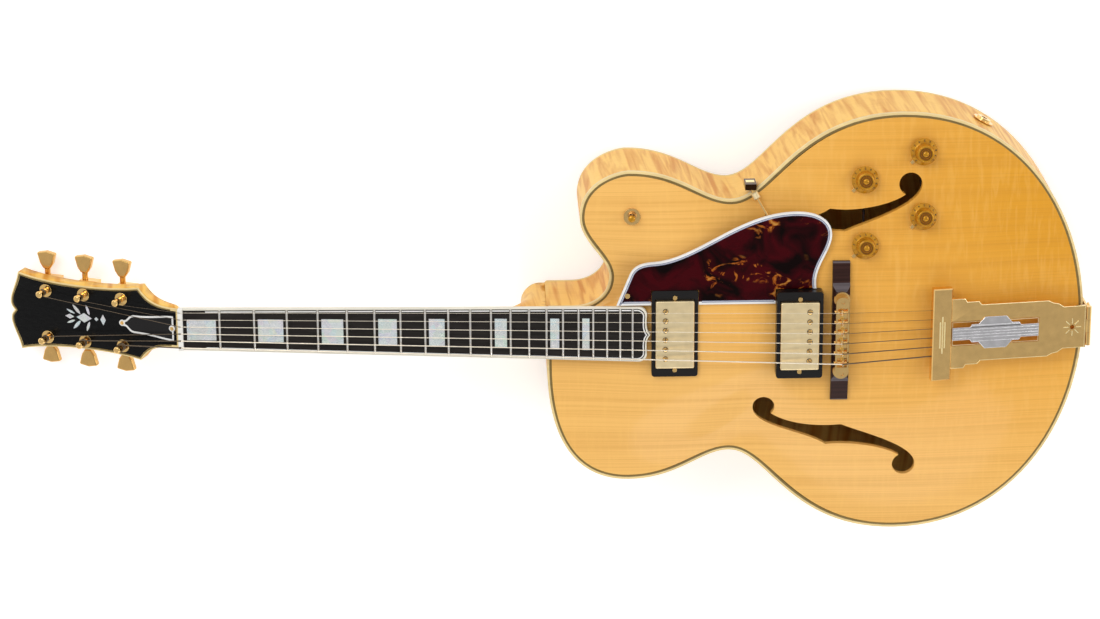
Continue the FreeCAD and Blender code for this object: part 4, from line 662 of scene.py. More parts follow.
def smooth(mesh: Mesh, sharp: float) -> None:
    """Shades a mesh smooth, with edges past an angle in degrees kept sharp."""
    mesh.shade_smooth()
    mesh.set_sharp_from_angle(angle=math.radians(sharp))


def paint(mesh: Mesh, *finishes: Finish) -> None:
    """Gives a mesh its finishes in order.

    Args:
        mesh: The mesh.
        finishes: Its finishes.
    """
    mesh.materials.clear()
    for finish in finishes:
        mesh.materials.append(finish.material())


def two_tone(
    mesh: Mesh, main: Finish, other: Finish, chosen: Callable[[bpy.types.MeshPolygon], bool],
) -> None:
    """Gives a mesh one finish, and some of its faces another.

    Args:
        mesh: The mesh.
        main: The finish of most faces.
        other: The finish of the chosen faces.
        chosen: Whether a face is one of them.
    """
    paint(mesh, main, other)
    for face in mesh.polygons:
        face.material_index = int(chosen(face))


def freed(made: BMesh) -> Mesh:
    """Turns a bmesh into a mesh and frees it.

    Args:
        made: The bmesh, which goes.

    Returns:
        The mesh.
    """
    mesh = bpy.data.meshes.new("mesh")
    made.to_mesh(mesh)
    made.free()
    return mesh


def to_mesh(made: BMesh, finish: Finish, sharp: float = SHARP) -> Mesh:
    """Turns a bmesh into a shaded, painted mesh.

    Args:
        made: The bmesh in metres, which goes.
        finish: The mesh's finish.
        sharp: The angle in degrees past which an edge stays sharp.

    Returns:
        The mesh.
    """
    mesh = freed(made)
    smooth(mesh, sharp)
    paint(mesh, finish)
    return mesh


def softened(mesh: Mesh, width: float, sharp: float = SHARP) -> Mesh:
    """A mesh with even shading, and with its hard edges rounded where asked.

    Args:
        mesh: The mesh to round.
        width: The rounding in millimetres, or 0.
        sharp: The angle in degrees past which an edge is hard.

    Returns:
        The new mesh.
    """
    smooth(mesh, 180.0 if width > 0 else sharp)
    holder = linked("holder", mesh)
    if width > 0:
        bevel = holder.modifiers.new("round", "BEVEL")
        bevel.width = width * MM
        bevel.segments = 2
        bevel.limit_method = "ANGLE"
        bevel.angle_limit = math.radians(sharp)
    even = holder.modifiers.new("even", "WEIGHTED_NORMAL")
    even.mode = "FACE_AREA"
    even.weight = 100
    even.keep_sharp = True
    return taken(holder)


def taken(holder: Piece) -> Mesh:
    """The plain mesh that an object's modifiers give; the object goes.

    Args:
        holder: The object.

    Returns:
        The mesh.
    """
    depsgraph = bpy.context.evaluated_depsgraph_get()
    mesh = bpy.data.meshes.new_from_object(holder.evaluated_get(depsgraph), depsgraph=depsgraph)
    holder.modifiers.clear()
    bpy.data.objects.remove(holder)
    return mesh


def merged(node: str, flat: bool) -> BMesh:
    """A CAD node's mesh with its doubles merged, and its flat faces joined where asked.

    Args:
        node: The node's name.
        flat: Whether flat faces are joined.

    Returns:
        The merged copy.
    """
    made = bmesh.new()
    made.from_mesh(frame["nodes"][node].data)
    bmesh.ops.remove_doubles(made, verts=made.verts, dist=WELD)
    if flat:
        bmesh.ops.dissolve_limit(made, angle_limit=BEND, verts=made.verts, edges=made.edges)
    return made


def sliced(made: BMesh, at: Vector, normal: Vector, **clear: bool) -> list[bmesh.types.BMEdge]:
    """Cuts a bmesh with a plane.

    Args:
        made: The bmesh.
        at: A point of the plane, in metres.
        normal: The plane's normal.
        clear: The sides that go.

    Returns:
        The edges of the cut.
    """
    everything = made.verts[:] + made.edges[:] + made.faces[:]
    cut = bmesh.ops.bisect_plane(made, geom=everything, plane_co=at, plane_no=normal, **clear)
    return [item for item in cut["geom_cut"] if isinstance(item, bmesh.types.BMEdge)]


def dress(node: str, finish: Finish, edge: float = 0.0, sharp: float = SHARP) -> Piece:
    """Stands a smooth, painted copy of a CAD node in its place.

    Args:
        node: The node's name.
        finish: Its finish.
        edge: How far its hard edges are rounded, in millimetres.
        sharp: The angle in degrees past which an edge stays sharp.

    Returns:
        The piece.
    """
    mesh = softened(freed(merged(node, edge > 0)), edge, sharp)
    paint(mesh, finish)
    return publish(node + "_dressed", mesh, BODY_OF[node], SLOT_OF[node], node)


def arched(
    mesh: Mesh, side: int, reach: float = 5.0, steep: float = 0.75, fold: float = 0.8,
) -> None:
    """Makes a plate's shading follow its arch, whatever its triangles.

    Args:
        mesh: The plate's mesh.
        side: 1 where the arch faces up, -1 where it faces down.
        reach: How far apart the slope is measured, in millimetres.
        steep: The height of a face's normal below which the face is a wall.
        fold: The cosine past which the faces of a wall are shaded apart.
    """
    step = reach * MM
    surface = BVHTree.FromPolygons(
        [vertex.co for vertex in mesh.vertices], [face.vertices[:] for face in mesh.polygons],
    )
    down = Vector((0, 0, -side))

    def slope(at: Vector, axis: Vector) -> float:
        """The rise of the plate along an axis.

        Args:
            at: Where it is measured.
            axis: The axis.

        Returns:
            The rise, or 0 where the plate can't be found beside the point.
        """
        found = []
        for way in (1, 0, -1):
            start = at + way * step * axis
            hit = surface.ray_cast(Vector((start.x, start.y, side)), down)[0]
            if hit is not None and abs(hit.z - at.z) < step:
                found.append((way * step, hit.z))
        if len(found) < 2:
            return 0.0
        (first, high), (last, low) = found[0], found[-1]
        return (high - low) / (first - last)

    around: dict[int, list[Vector]] = {}
    for face in mesh.polygons:
        for vertex in face.vertices:
            around.setdefault(vertex, []).append(face.area * face.normal)
    corners = [corner.vector.copy() for corner in mesh.corner_normals]
    known: dict[int, Vector] = {}
    for face in mesh.polygons:
        wall = face.normal.z * side < steep
        for loop in face.loop_indices:
            vertex = mesh.loops[loop].vertex_index
            if wall:
                alike = [v for v in around[vertex] if v.dot(face.normal) > fold * v.length]
                corners[loop] = sum(alike, face.area * face.normal).normalized()
                continue
            if vertex not in known:
                at = mesh.vertices[vertex].co
                rise = [slope(at, Vector(axis)) for axis in ((1, 0, 0), (0, 1, 0))]
                known[vertex] = side * Vector((-rise[0], -rise[1], 1)).normalized()
            corners[loop] = known[vertex]
    mesh.normals_split_custom_set(corners)


def sampled(chain: Chain, steps: int = 20) -> list[Point]:
    """Points along a closed chain of curves, each given by its poles.

    Args:
        chain: The curves.
        steps: The points on each curve.

    Returns:
        The points.
    """
    points = []
    for poles in chain:
        for step in range(steps):
            layer = [Vector(pole) for pole in poles]
            while len(layer) > 1:
                layer = [a.lerp(b, step / steps) for a, b in zip(layer, layer[1:])]
            points.append((layer[0].x, layer[0].y))
    return points


def inset(points: Sequence[Point], depth: float, sharpest: float = 0.4) -> list[Point]:
    """A closed outline moved inwards.

    Args:
        points: The outline.
        depth: How far it moves.
        sharpest: The limit that keeps a sharp corner from running away.

    Returns:
        The moved outline.
    """
    ends = list(zip(points[-1:] + points[:-1], points))
    way = math.copysign(depth, sum(x0 * y1 - x1 * y0 for (x0, y0), (x1, y1) in ends))
    runs = [Vector(end) - Vector(start) for start, end in ends]
    normals = [Vector((-run.y, run.x)).normalized() for run in runs[1:] + runs[:1]]
    moved = []
    for index, (x, y) in enumerate(points):
        before, after = normals[index - 1], normals[index]
        lean = before + after
        gain = way / max(sharpest, 1 + before.dot(after))
        moved.append((x + lean.x * gain, y + lean.y * gain))
    return moved


def mirrored(points: Sequence[Point]) -> list[Point]:
    """Points on the other side of the centre line, in the other order."""
    return [(x, -y) for x, y in reversed(points)]


def walled(made: BMesh, rows: Sequence[list[bmesh.types.BMVert]]) -> None:
    """Closes rows of corners into a shell with a floor, a roof and walls.

    Args:
        made: The bmesh that holds the corners.
        rows: The rows from the floor up, all with the same count of corners.
    """
    made.faces.new(rows[0])
    made.faces.new(rows[-1])
    for under, over in zip(rows, rows[1:]):
        for k in range(len(under)):
            made.faces.new((under[k - 1], under[k], over[k], over[k - 1]))


def placed(made: BMesh, place: Matrix) -> BMesh:
    """Turns a bmesh's faces outwards, and moves it from millimetres to its place in metres.

    Args:
        made: The bmesh.
        place: Its place.

    Returns:
        The same bmesh.
    """
    bmesh.ops.recalc_face_normals(made, faces=made.faces)
    bmesh.ops.transform(made, matrix=Matrix.Scale(MM, 4) @ place, verts=made.verts)
    return made


def plate(
    outline: Sequence[Point], low: float, high: float, place: Matrix, edge: float = 0.0,
) -> BMesh:
    """A flat plate with an outline in millimetres.

    Args:
        outline: Its corners, in its own plane.
        low: Its lower face.
        high: Its upper face.
        place: Where its plane lies.
        edge: How far its upper edge is chamfered.

    Returns:
        The plate, in metres.
    """
    made = bmesh.new()
    levels = [(outline, low), (outline, high - edge)]
    if edge > 0:
        levels.append((inset(outline, edge), high))
    walled(made, [[made.verts.new((x, y, z)) for x, y in line] for line, z in levels])
    return placed(made, place)


def lathe(profile: Sequence[Point], place: Matrix, steps: int = 48) -> BMesh:
    """A closed turning about the local z axis.

    Args:
        profile: Radii and heights in millimetres, from axis to axis.
        place: Where its axis stands.
        steps: Sides of the turning.

    Returns:
        The turning, in metres.
    """
    made = bmesh.new()
    turns = [math.tau * k / steps for k in range(steps)]
    rings = []
    for radius, height in profile:
        spots = [(radius * math.cos(a), radius * math.sin(a), height) for a in turns]
        rings.append([made.verts.new(spot) for spot in (spots if radius > 0 else spots[:1])])
    for under, over in zip(rings, rings[1:]):
        for k in range(steps):
            spots = ((under, k), (under, k + 1), (over, k + 1), (over, k))
            corners = list(dict.fromkeys(ring[index % len(ring)] for ring, index in spots))
            if len(corners) > 2:
                made.faces.new(corners)
    return placed(made, place)


def stood(at: Sequence[float], axis: Sequence[float]) -> Matrix:
    """A frame in millimetres at a point in metres, with its z along an axis."""
    turn = Vector((0, 0, 1)).rotation_difference(Vector(axis)).to_matrix().to_4x4()
    return Matrix.Translation(Vector(at) / MM) @ turn


def shifted(mesh: Mesh, place: Matrix) -> Mesh:
    """Moves a mesh in metres by a frame in millimetres.

    Args:
        mesh: The mesh.
        place: The frame.

    Returns:
        The same mesh.
    """
    mesh.transform(Matrix.Scale(MM, 4) @ place @ Matrix.Scale(1 / MM, 4))
    return mesh


def joined(parts: Sequence[Mesh], finish: Finish) -> Mesh:
    """Makes several meshes one painted mesh.

    Args:
        parts: The meshes, which go.
        finish: The new mesh's finish.

    Returns:
        The new mesh.
    """
    made = bmesh.new()
    for part in parts:
        made.from_mesh(part)
        bpy.data.meshes.remove(part)
    return to_mesh(made, finish)


# Geometry-node trees
class NodeTree:
    """A geometry-node tree under construction."""

    def __init__(self, name: str) -> None:
        """Starts a tree that takes and gives geometry and has a finish.

        Args:
            name: The tree's name.
        """
        self.tree = bpy.data.node_groups.new(name, "GeometryNodeTree")
        face = self.tree.interface
        face.new_socket("Geometry", in_out="INPUT", socket_type="NodeSocketGeometry")
        face.new_socket("Geometry", in_out="OUTPUT", socket_type="NodeSocketGeometry")
        self.source = self.tree.nodes.new("NodeGroupInput")
        self.sink = self.tree.nodes.new("NodeGroupOutput")
        self.finish = self.value("Finish", "NodeSocketMaterial")
        self.geometry = self.source.outputs["Geometry"]

    def value(self, name: str, kind: str = "NodeSocketFloat") -> Socket:
        """Adds a named input."""
        self.tree.interface.new_socket(name, in_out="INPUT", socket_type=kind)
        return self.source.outputs[name]

    def add(self, kind: str, inputs: dict, **settings: object) -> Socket:
        """Adds one node.

        Args:
            kind: The node's type.
            inputs: Values or sockets for its inputs, by name or index.
            settings: Properties of the node.

        Returns:
            The node's first output.
        """
        node = self.tree.nodes.new(kind)
        for key, value in settings.items():
            setattr(node, key, value)
        for key, value in inputs.items():
            if isinstance(value, Socket):
                self.tree.links.new(value, node.inputs[key])
            else:
                node.inputs[key].default_value = value
        return next(socket for socket in node.outputs if socket.enabled)

    def close(self, geometry: Socket) -> Tree:
        """Ends the tree with plain geometry in its finish.

        Args:
            geometry: What the tree made.

        Returns:
            The tree.
        """
        plain = self.add("GeometryNodeRealizeInstances", {"Geometry": geometry})
        done = self.add("GeometryNodeSetMaterial", {"Geometry": plain, "Material": self.finish})
        self.tree.links.new(done, self.sink.inputs["Geometry"])
        return self.tree


def grown(tree: Tree, finish: Finish, seed: Optional[Mesh] = None, **values: object) -> Mesh:
    """Runs a tree and keeps the result as a plain mesh.

    Args:
        tree: The tree.
        finish: The finish of the result.
        seed: The mesh that the tree starts from, which goes, or None.
        values: The tree's inputs, with underscores for spaces in their names.

    Returns:
        The new mesh.
    """
    if seed is None:
        seed = bpy.data.meshes.new("seed")
    holder = linked("holder", seed)
    modifier = holder.modifiers.new("grow", "NODES")
    modifier.node_group = tree
    wanted = {key.replace("_", " "): value for key, value in values.items()}
    wanted["Finish"] = finish.material()
    for item in tree.interface.items_tree:
        if item.in_out == "INPUT" and item.name in wanted:
            modifier[item.identifier] = wanted[item.name]
    mesh = taken(holder)
    bpy.data.meshes.remove(seed)
    smooth(mesh, SHARP)
    return mesh


@cache
def ply_tree() -> Tree:
    """A strip with a soft-edged oblong section, swept along a line.

    Returns:
        The tree.
    """
    laid = NodeTree("swept_ply")
    wide = laid.value("Width")
    tall = laid.value("Height")
    soft = laid.value("Edge radius")
    line = laid.add("GeometryNodeMeshToCurve", {"Mesh": laid.geometry})
    level = laid.add("GeometryNodeSetCurveNormal", {"Curve": line}, mode="Z_UP")
    section = laid.add("GeometryNodeCurvePrimitiveQuadrilateral", {"Width": wide, "Height": tall})
    rounded = laid.add(
        "GeometryNodeFilletCurve",
        {"Curve": section, "Radius": soft, "Count": 2, "Limit Radius": True}, mode="POLY",
    )
    swept = laid.add(
        "GeometryNodeCurveToMesh", {"Curve": level, "Profile Curve": rounded, "Fill Caps": True},
    )
    return laid.close(swept)


@cache
def row_tree() -> Tree:
    """Copies of one small piece on points, each turned at random about z.

    Returns:
        The tree.
    """
    laid = NodeTree("scattered_heads")
    head = laid.value("Head", "NodeSocketObject")
    seed = laid.value("Seed", "NodeSocketInt")
    shape = laid.tree.nodes.new("GeometryNodeObjectInfo")
    laid.tree.links.new(head, shape.inputs["Object"])
    turn = laid.add(
        "FunctionNodeRandomValue",
        {"Min": (0, 0, 0), "Max": (0, 0, math.pi), "Seed": seed}, data_type="FLOAT_VECTOR",
    )
    copies = laid.add(
        "GeometryNodeInstanceOnPoints",
        {"Points": laid.geometry, "Instance": shape.outputs["Geometry"], "Rotation": turn},
    )
    return laid.close(copies)


@cache
def ridge_tree() -> Tree:
    """Round ridges along x, set side by side across y.

    Returns:
        The tree.
    """
    laid = NodeTree("ridge_row")
    count = laid.value("Count", "NodeSocketInt")
    length = laid.value("Length")
    radius = laid.value("Radius")
    pitch = laid.value("Pitch")
    offset = laid.add("ShaderNodeCombineXYZ", {"Y": pitch})
    line = laid.add("GeometryNodeMeshLine", {"Count": count, "Offset": offset}, mode="OFFSET")
    bar = laid.add("GeometryNodeMeshCylinder", {"Vertices": 10, "Radius": radius, "Depth": length})
    turned = laid.add("GeometryNodeTransform", {"Geometry": bar, "Rotation": (0, math.pi / 2, 0)})
    row = laid.add("GeometryNodeInstanceOnPoints", {"Points": line, "Instance": turned})
    return laid.close(row)


@cache
def knurl_tree() -> Tree:
    """A wheel whose rim goes in and out from point to point.

    Returns:
        The tree.
    """
    laid = NodeTree("knurled_wheel")
    radius = laid.value("Radius")
    thick = laid.value("Thickness")
    depth = laid.value("Groove")
    teeth = laid.value("Sides", "NodeSocketInt")
    wheel = laid.add(
        "GeometryNodeMeshCylinder",
        {"Vertices": teeth, "Radius": radius, "Depth": thick}, fill_type="NGON",
    )
    index = laid.add("GeometryNodeInputIndex", {})
    odd = laid.add("ShaderNodeMath", {0: index, 1: 2.0}, operation="MODULO")
    bite = laid.add("ShaderNodeMath", {0: odd, 1: depth}, operation="MULTIPLY")
    away = laid.add("GeometryNodeInputPosition", {})
    flat = laid.add("ShaderNodeVectorMath", {0: away, 1: (1.0, 1.0, 0.0)}, operation="MULTIPLY")
    unit = laid.add("ShaderNodeVectorMath", {0: flat}, operation="NORMALIZE")
    inwards = laid.add("ShaderNodeMath", {0: bite, 1: -1.0}, operation="MULTIPLY")
    move = laid.add("ShaderNodeVectorMath", {0: unit, "Scale": inwards}, operation="SCALE")
    return laid.close(laid.add("GeometryNodeSetPosition", {"Geometry": wheel, "Offset": move}))


@cache
def fan_tree() -> Tree:
    """Thin straight rays that stand round a circle.

    Returns:
        The tree.
    """
    laid = NodeTree("ray_fan")
    count = laid.value("Count", "NodeSocketInt")
    radius = laid.value("Radius")
    length = laid.value("Length")
    width = laid.value("Width")
    ring = laid.add("GeometryNodeMeshCircle", {"Vertices": count, "Radius": radius})
    outward = laid.add("GeometryNodeInputPosition", {})
    heading = laid.add("FunctionNodeAlignRotationToVector", {"Vector": outward}, axis="X")
    size = laid.add("ShaderNodeCombineXYZ", {"X": length, "Y": width, "Z": width})
    ray = laid.add("GeometryNodeMeshCube", {"Size": size})
    fan = laid.add(
        "GeometryNodeInstanceOnPoints", {"Points": ring, "Instance": ray, "Rotation": heading},
    )
    return laid.close(fan)


def lined(points: Sequence[Point], height: float, place: Matrix, closed: bool = True) -> Mesh:
    """A line of edges as a mesh.

    Args:
        points: Its corners in millimetres.
        height: Its height over their plane.
        place: The plane's frame.
        closed: Whether it runs back to its start.

    Returns:
        The line, in metres.
    """
    mesh = bpy.data.meshes.new("line")
    count = len(points)
    edges = [(k, (k + 1) % count) for k in range(count if closed else count - 1)]
    mesh.from_pydata([MM * (place @ Vector((x, y, height))) for x, y in points], edges, [])
    return mesh


def strip(line: Mesh, finish: Finish, width: float, height: float, soft: float) -> Mesh:
    """A soft-edged strip along a line, with its sizes in millimetres."""
    sizes = {"Width": width * MM, "Height": height * MM, "Edge_radius": soft * MM}
    return grown(ply_tree(), finish, line, **sizes)


@dataclass(frozen=True)
class Ply:
    """One strip of a laminated binding."""

    finish: Finish
    width: float
    soft_share: float = 0.3
    soft_most: float = 0.5

    def soft(self) -> float:
        """How far its edges are rounded."""
        return min(self.soft_most, self.soft_share * self.width)


def laminated(
    outline: Sequence[Point], plies: Sequence[Ply], low: float, high: float, place: Matrix,
    until: Optional[float] = None,
) -> list[Mesh]:
    """Strips laid side by side inwards from an outline.

    Args:
        outline: The outer edge in millimetres.
        plies: The strips, from outside in.
        low: The strips' lower face.
        high: The strips' upper face.
        place: The frame of the outline's plane.
        until: The x past which the strips stop, so that they are open there, or None.

    Returns:
        One mesh for each strip.
    """
    meshes = []
    depth = 0.0
    # A strip is swept level, where its section stands upright, and tilted afterwards
    turn = place.to_3x3().to_4x4()
    for ply in plies:
        path = inset(outline, depth + ply.width / 2)
        if until is not None:
            path = [spot for spot in path if spot[0] < until]
        line = lined(path, (low + high) / 2, turn.inverted() @ place, until is None)
        mesh = strip(line, ply.finish, ply.width, high - low, ply.soft())
        mesh.transform(turn)
        meshes.append(mesh)
        depth += ply.width
    return meshes


# A slotted head: the radius and height of its rings, and its slot and the slot's floor, as shares
HEAD_RINGS = ((1.0, 0.0), (1.0, 0.5), (0.86, 0.86), (0.55, 1.0))
SLOT_SHARE = 0.32
FLOOR_R = 0.97
FLOOR_H = 0.3


def slotted_head(radius: float, height: float, steps: int = 9, sides: int = 16) -> Mesh:
    """A domed screw head with a slot across it, standing at the origin.

    Args:
        radius: Its radius in millimetres.
        height: Its height.
        steps: The corners of each half's arc.
        sides: The corners of the slot's floor.

    Returns:
        The head's mesh, in metres.
    """
    made = bmesh.new()
    half = SLOT_SHARE * radius / 2
    start = math.asin(half / radius)
    turns = [start + (math.pi - 2 * start) * k / (steps - 1) for k in range(steps)]
    for side in (1, -1):
        rows = []
        for share, level in HEAD_RINGS:
            ring = []
            for angle in turns:
                x = share * radius * math.cos(angle)
                y = max(half, share * radius * math.sin(angle))
                ring.append(made.verts.new((x * MM, side * y * MM, level * height * MM)))
            rows.append(ring)
        walled(made, rows)
    rim = FLOOR_R * radius * MM
    around = [math.tau * k / sides for k in range(sides)]
    walled(made, [
        [made.verts.new((rim * math.cos(angle), rim * math.sin(angle), level)) for angle in around]
        for level in (0.0, FLOOR_H * height * MM)
    ])
    bmesh.ops.recalc_face_normals(made, faces=made.faces)
    return freed(made)


def heads(
    spots: Sequence[Sequence[float]], radius: float, height: float, place: Matrix, finish: Finish,
    seed: int,
) -> Mesh:
    """Slotted heads on points of a plane, each turned its own way.

    Args:
        spots: Their places in millimetres, in the plane's frame.
        radius: Their radius.
        height: Their height.
        place: The plane's frame.
        finish: Their finish.
        seed: The seed of their turns.

    Returns:
        One mesh of all the heads.
    """
    shape = slotted_head(radius, height)
    sample = linked("head", shape)
    points = bpy.data.meshes.new("spots")
    points.from_pydata([MM * Vector(spot) for spot in spots], [], [])
    mesh = grown(row_tree(), finish, points, Head=sample, Seed=seed)
    bpy.data.objects.remove(sample)
    bpy.data.meshes.remove(shape)
    return shifted(mesh, place)


def eased(start: Point, out: Point, end: Point, back: Point) -> list[Point]:
    """A curve that leaves start by shares of the way and reaches end by shares.

    Args:
        start: Its first point.
        out: The shares of the way at which its second pole lies.
        end: Its last point.
        back: The shares of the way back, for its third pole.

    Returns:
        Its poles.
    """
    dx = end[0] - start[0]
    dy = end[1] - start[1]
    first = (start[0] + out[0] * dx, start[1] + out[1] * dy)
    last = (end[0] - back[0] * dx, end[1] - back[1] * dy)
    return [start, first, last, end]


# Sub-assemblies
@dataclass
class Body:
    """Arched plates, rims, their bindings and what shows through the sound holes."""

    tail: Point = (244.0, 0.0)
    lower: Point = (61.0, 216.5)
    waist: Point = (-106.0, 130.5)
    upper: Point = (-206.0, 160.5)
    horn: Point = (-254.2, 114.0)
    cut: Point = (-225.2, 53.0)
    cut_neck: Point = (-262.0, 22.5)
    shoulder_y: float = 38.0
    edge: float = 5.0
    cream_w: float = 2.4
    olive_w: float = 2.2
    steps: int = 28

    def outline(self) -> list[Point]:
        """The body's edge, seen from above.

        Returns:
            Its points.
        """
        corner = (DATUM.joint_x, self.cut_neck[1])
        shoulder = (DATUM.joint_x, self.shoulder_y)
        bouts = [
            eased(self.tail, (0, 0.526), self.lower, (0.626, 0)),
            eased(self.lower, (0.636, 0), self.waist, (0.229, 0)),
            eased(self.waist, (0.274, 0), self.upper, (0.502, 0)),
        ]
        cutaway = [
            eased(self.upper, (0.19, 0), self.horn, (0, 0.8)),
            eased(self.horn, (0, 0.413), self.cut, (0, 0.32)),
            eased(self.cut, (0, 0.54), self.cut_neck, (0.647, 0)),
            [self.cut_neck, corner],
        ]
        bass = bouts + [eased(self.upper, (0.74, 0), shoulder, (0, 0.55))]
        other = [mirrored(poles) for poles in reversed(bass)]
        end = [corner, (DATUM.joint_x, -self.shoulder_y)]
        return sampled(bouts + cutaway + [end] + other, self.steps)

    def build(self) -> None:
        """Dresses the plates and rims and lays both bindings."""
        arched(dress("top_plate", SPRUCE, sharp=CARVED).data, 1)
        arched(dress("back_plate", BACK_MAPLE, sharp=CARVED).data, -1)
        dress("rims", RIM_MAPLE, sharp=CARVED)
        dress("inner_frame", INNER)
        outline = self.outline()
        plies = [Ply(CREAM, self.cream_w), Ply(OLIVE, self.olive_w)]
        for end, low in (("top", DATUM.rim_top - self.edge), ("back", DATUM.rim_bottom)):
            strips = laminated(outline, plies, low, low + self.edge, Matrix())
            for number, mesh in enumerate(strips):
                name = "body_ply_%s_%d" % (end, number)
                publish(name, mesh, ROOT, "binding", "body_bindings")


@dataclass
class Neck:
    """Neck, fingerboard, frets, inlays, nut and the bindings beside them."""

    nut_half: float = 21.45
    taper: float = 0.0147
    bind: float = 1.6
    frets: int = 20
    overhang: float = 12.4
    corner: float = 8.0
    corner_pull: float = 0.45
    hollow: float = 1.0
    point: float = 3.4
    radius: float = 305.0
    line_in: float = 1.5
    line_w: float = 1.2
    line_t: float = 0.5
    line_proud: float = 0.1
    line_from: float = 0.001
    # The share of a fret face's normal along the neck past which it is a flank and gets painted shade
    flank: float = 0.5

    def edge(self) -> list[Point]:
        """The fingerboard's edge from the nut round its point and back.

        Returns:
            Its points.
        """
        length = DATUM.scale * (1 - 2 ** (-self.frets / 12)) + self.overhang
        start = self.nut_half - self.bind
        end = start + self.taper * length
        curve = self.corner_pull * self.corner
        turn = (length - self.corner, end)
        shoulder = (length, end - self.corner)
        treble = [
            [(0, start), turn],
            [turn, (length - curve, end), (length, end - curve), shoulder],
            [
                shoulder, (length - self.hollow, self.corner), (length, self.point),
                (length + self.point, 0),
            ],
        ]
        bass = [mirrored(poles) for poles in reversed(treble)]
        return sampled(treble + bass + [[(0, -start), (0, start)]])

    def line(self) -> None:
        """Inlays the white line inside the fingerboard's edge, along its crown."""
        place = DATUM.neck_place()
        turn = place.to_3x3().to_4x4()
        within = inset(self.edge(), self.line_in)
        path = [spot for spot in within if spot[0] > self.line_in + self.line_from]
        level = self.line_proud - self.line_t / 2
        line = lined(path, level, turn.inverted() @ place, False)
        for vertex, (_, y) in zip(line.vertices, path):
            vertex.co.z -= MM * (self.radius - math.sqrt(self.radius ** 2 - y ** 2))
        mesh = strip(line, WHITE, self.line_w, self.line_t, self.line_proud)
        mesh.transform(turn)
        publish("board_line", mesh, ROOT, "binding")

    def build(self) -> None:
        """Dresses the neck from heel to nut."""
        dress("neck", NECK_MAPLE, sharp=CARVED)
        dress("fingerboard", EBONY, 0.15)
        wires = dress("frets", NICKEL).data
        # The fret flanks get painted shade, a dark steel
        two_tone(wires, NICKEL, STEEL_SHADE, lambda face: abs(face.normal.x) > self.flank)
        dress("pearl_inlays", PEARL)
        dress("string_nut", BONE, 0.3)
        strips = dress("neck_bindings", CREAM, 0.2).data
        nut_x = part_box("string_nut")[0][0]
        heel_z = DATUM.rim_top * MM / 2
        two_tone(
            strips, CREAM, IVORY, lambda face: face.center.x > nut_x and face.center.z > heel_z,
        )
        self.line()
        dress("truss_rod", STEEL, 0.2)


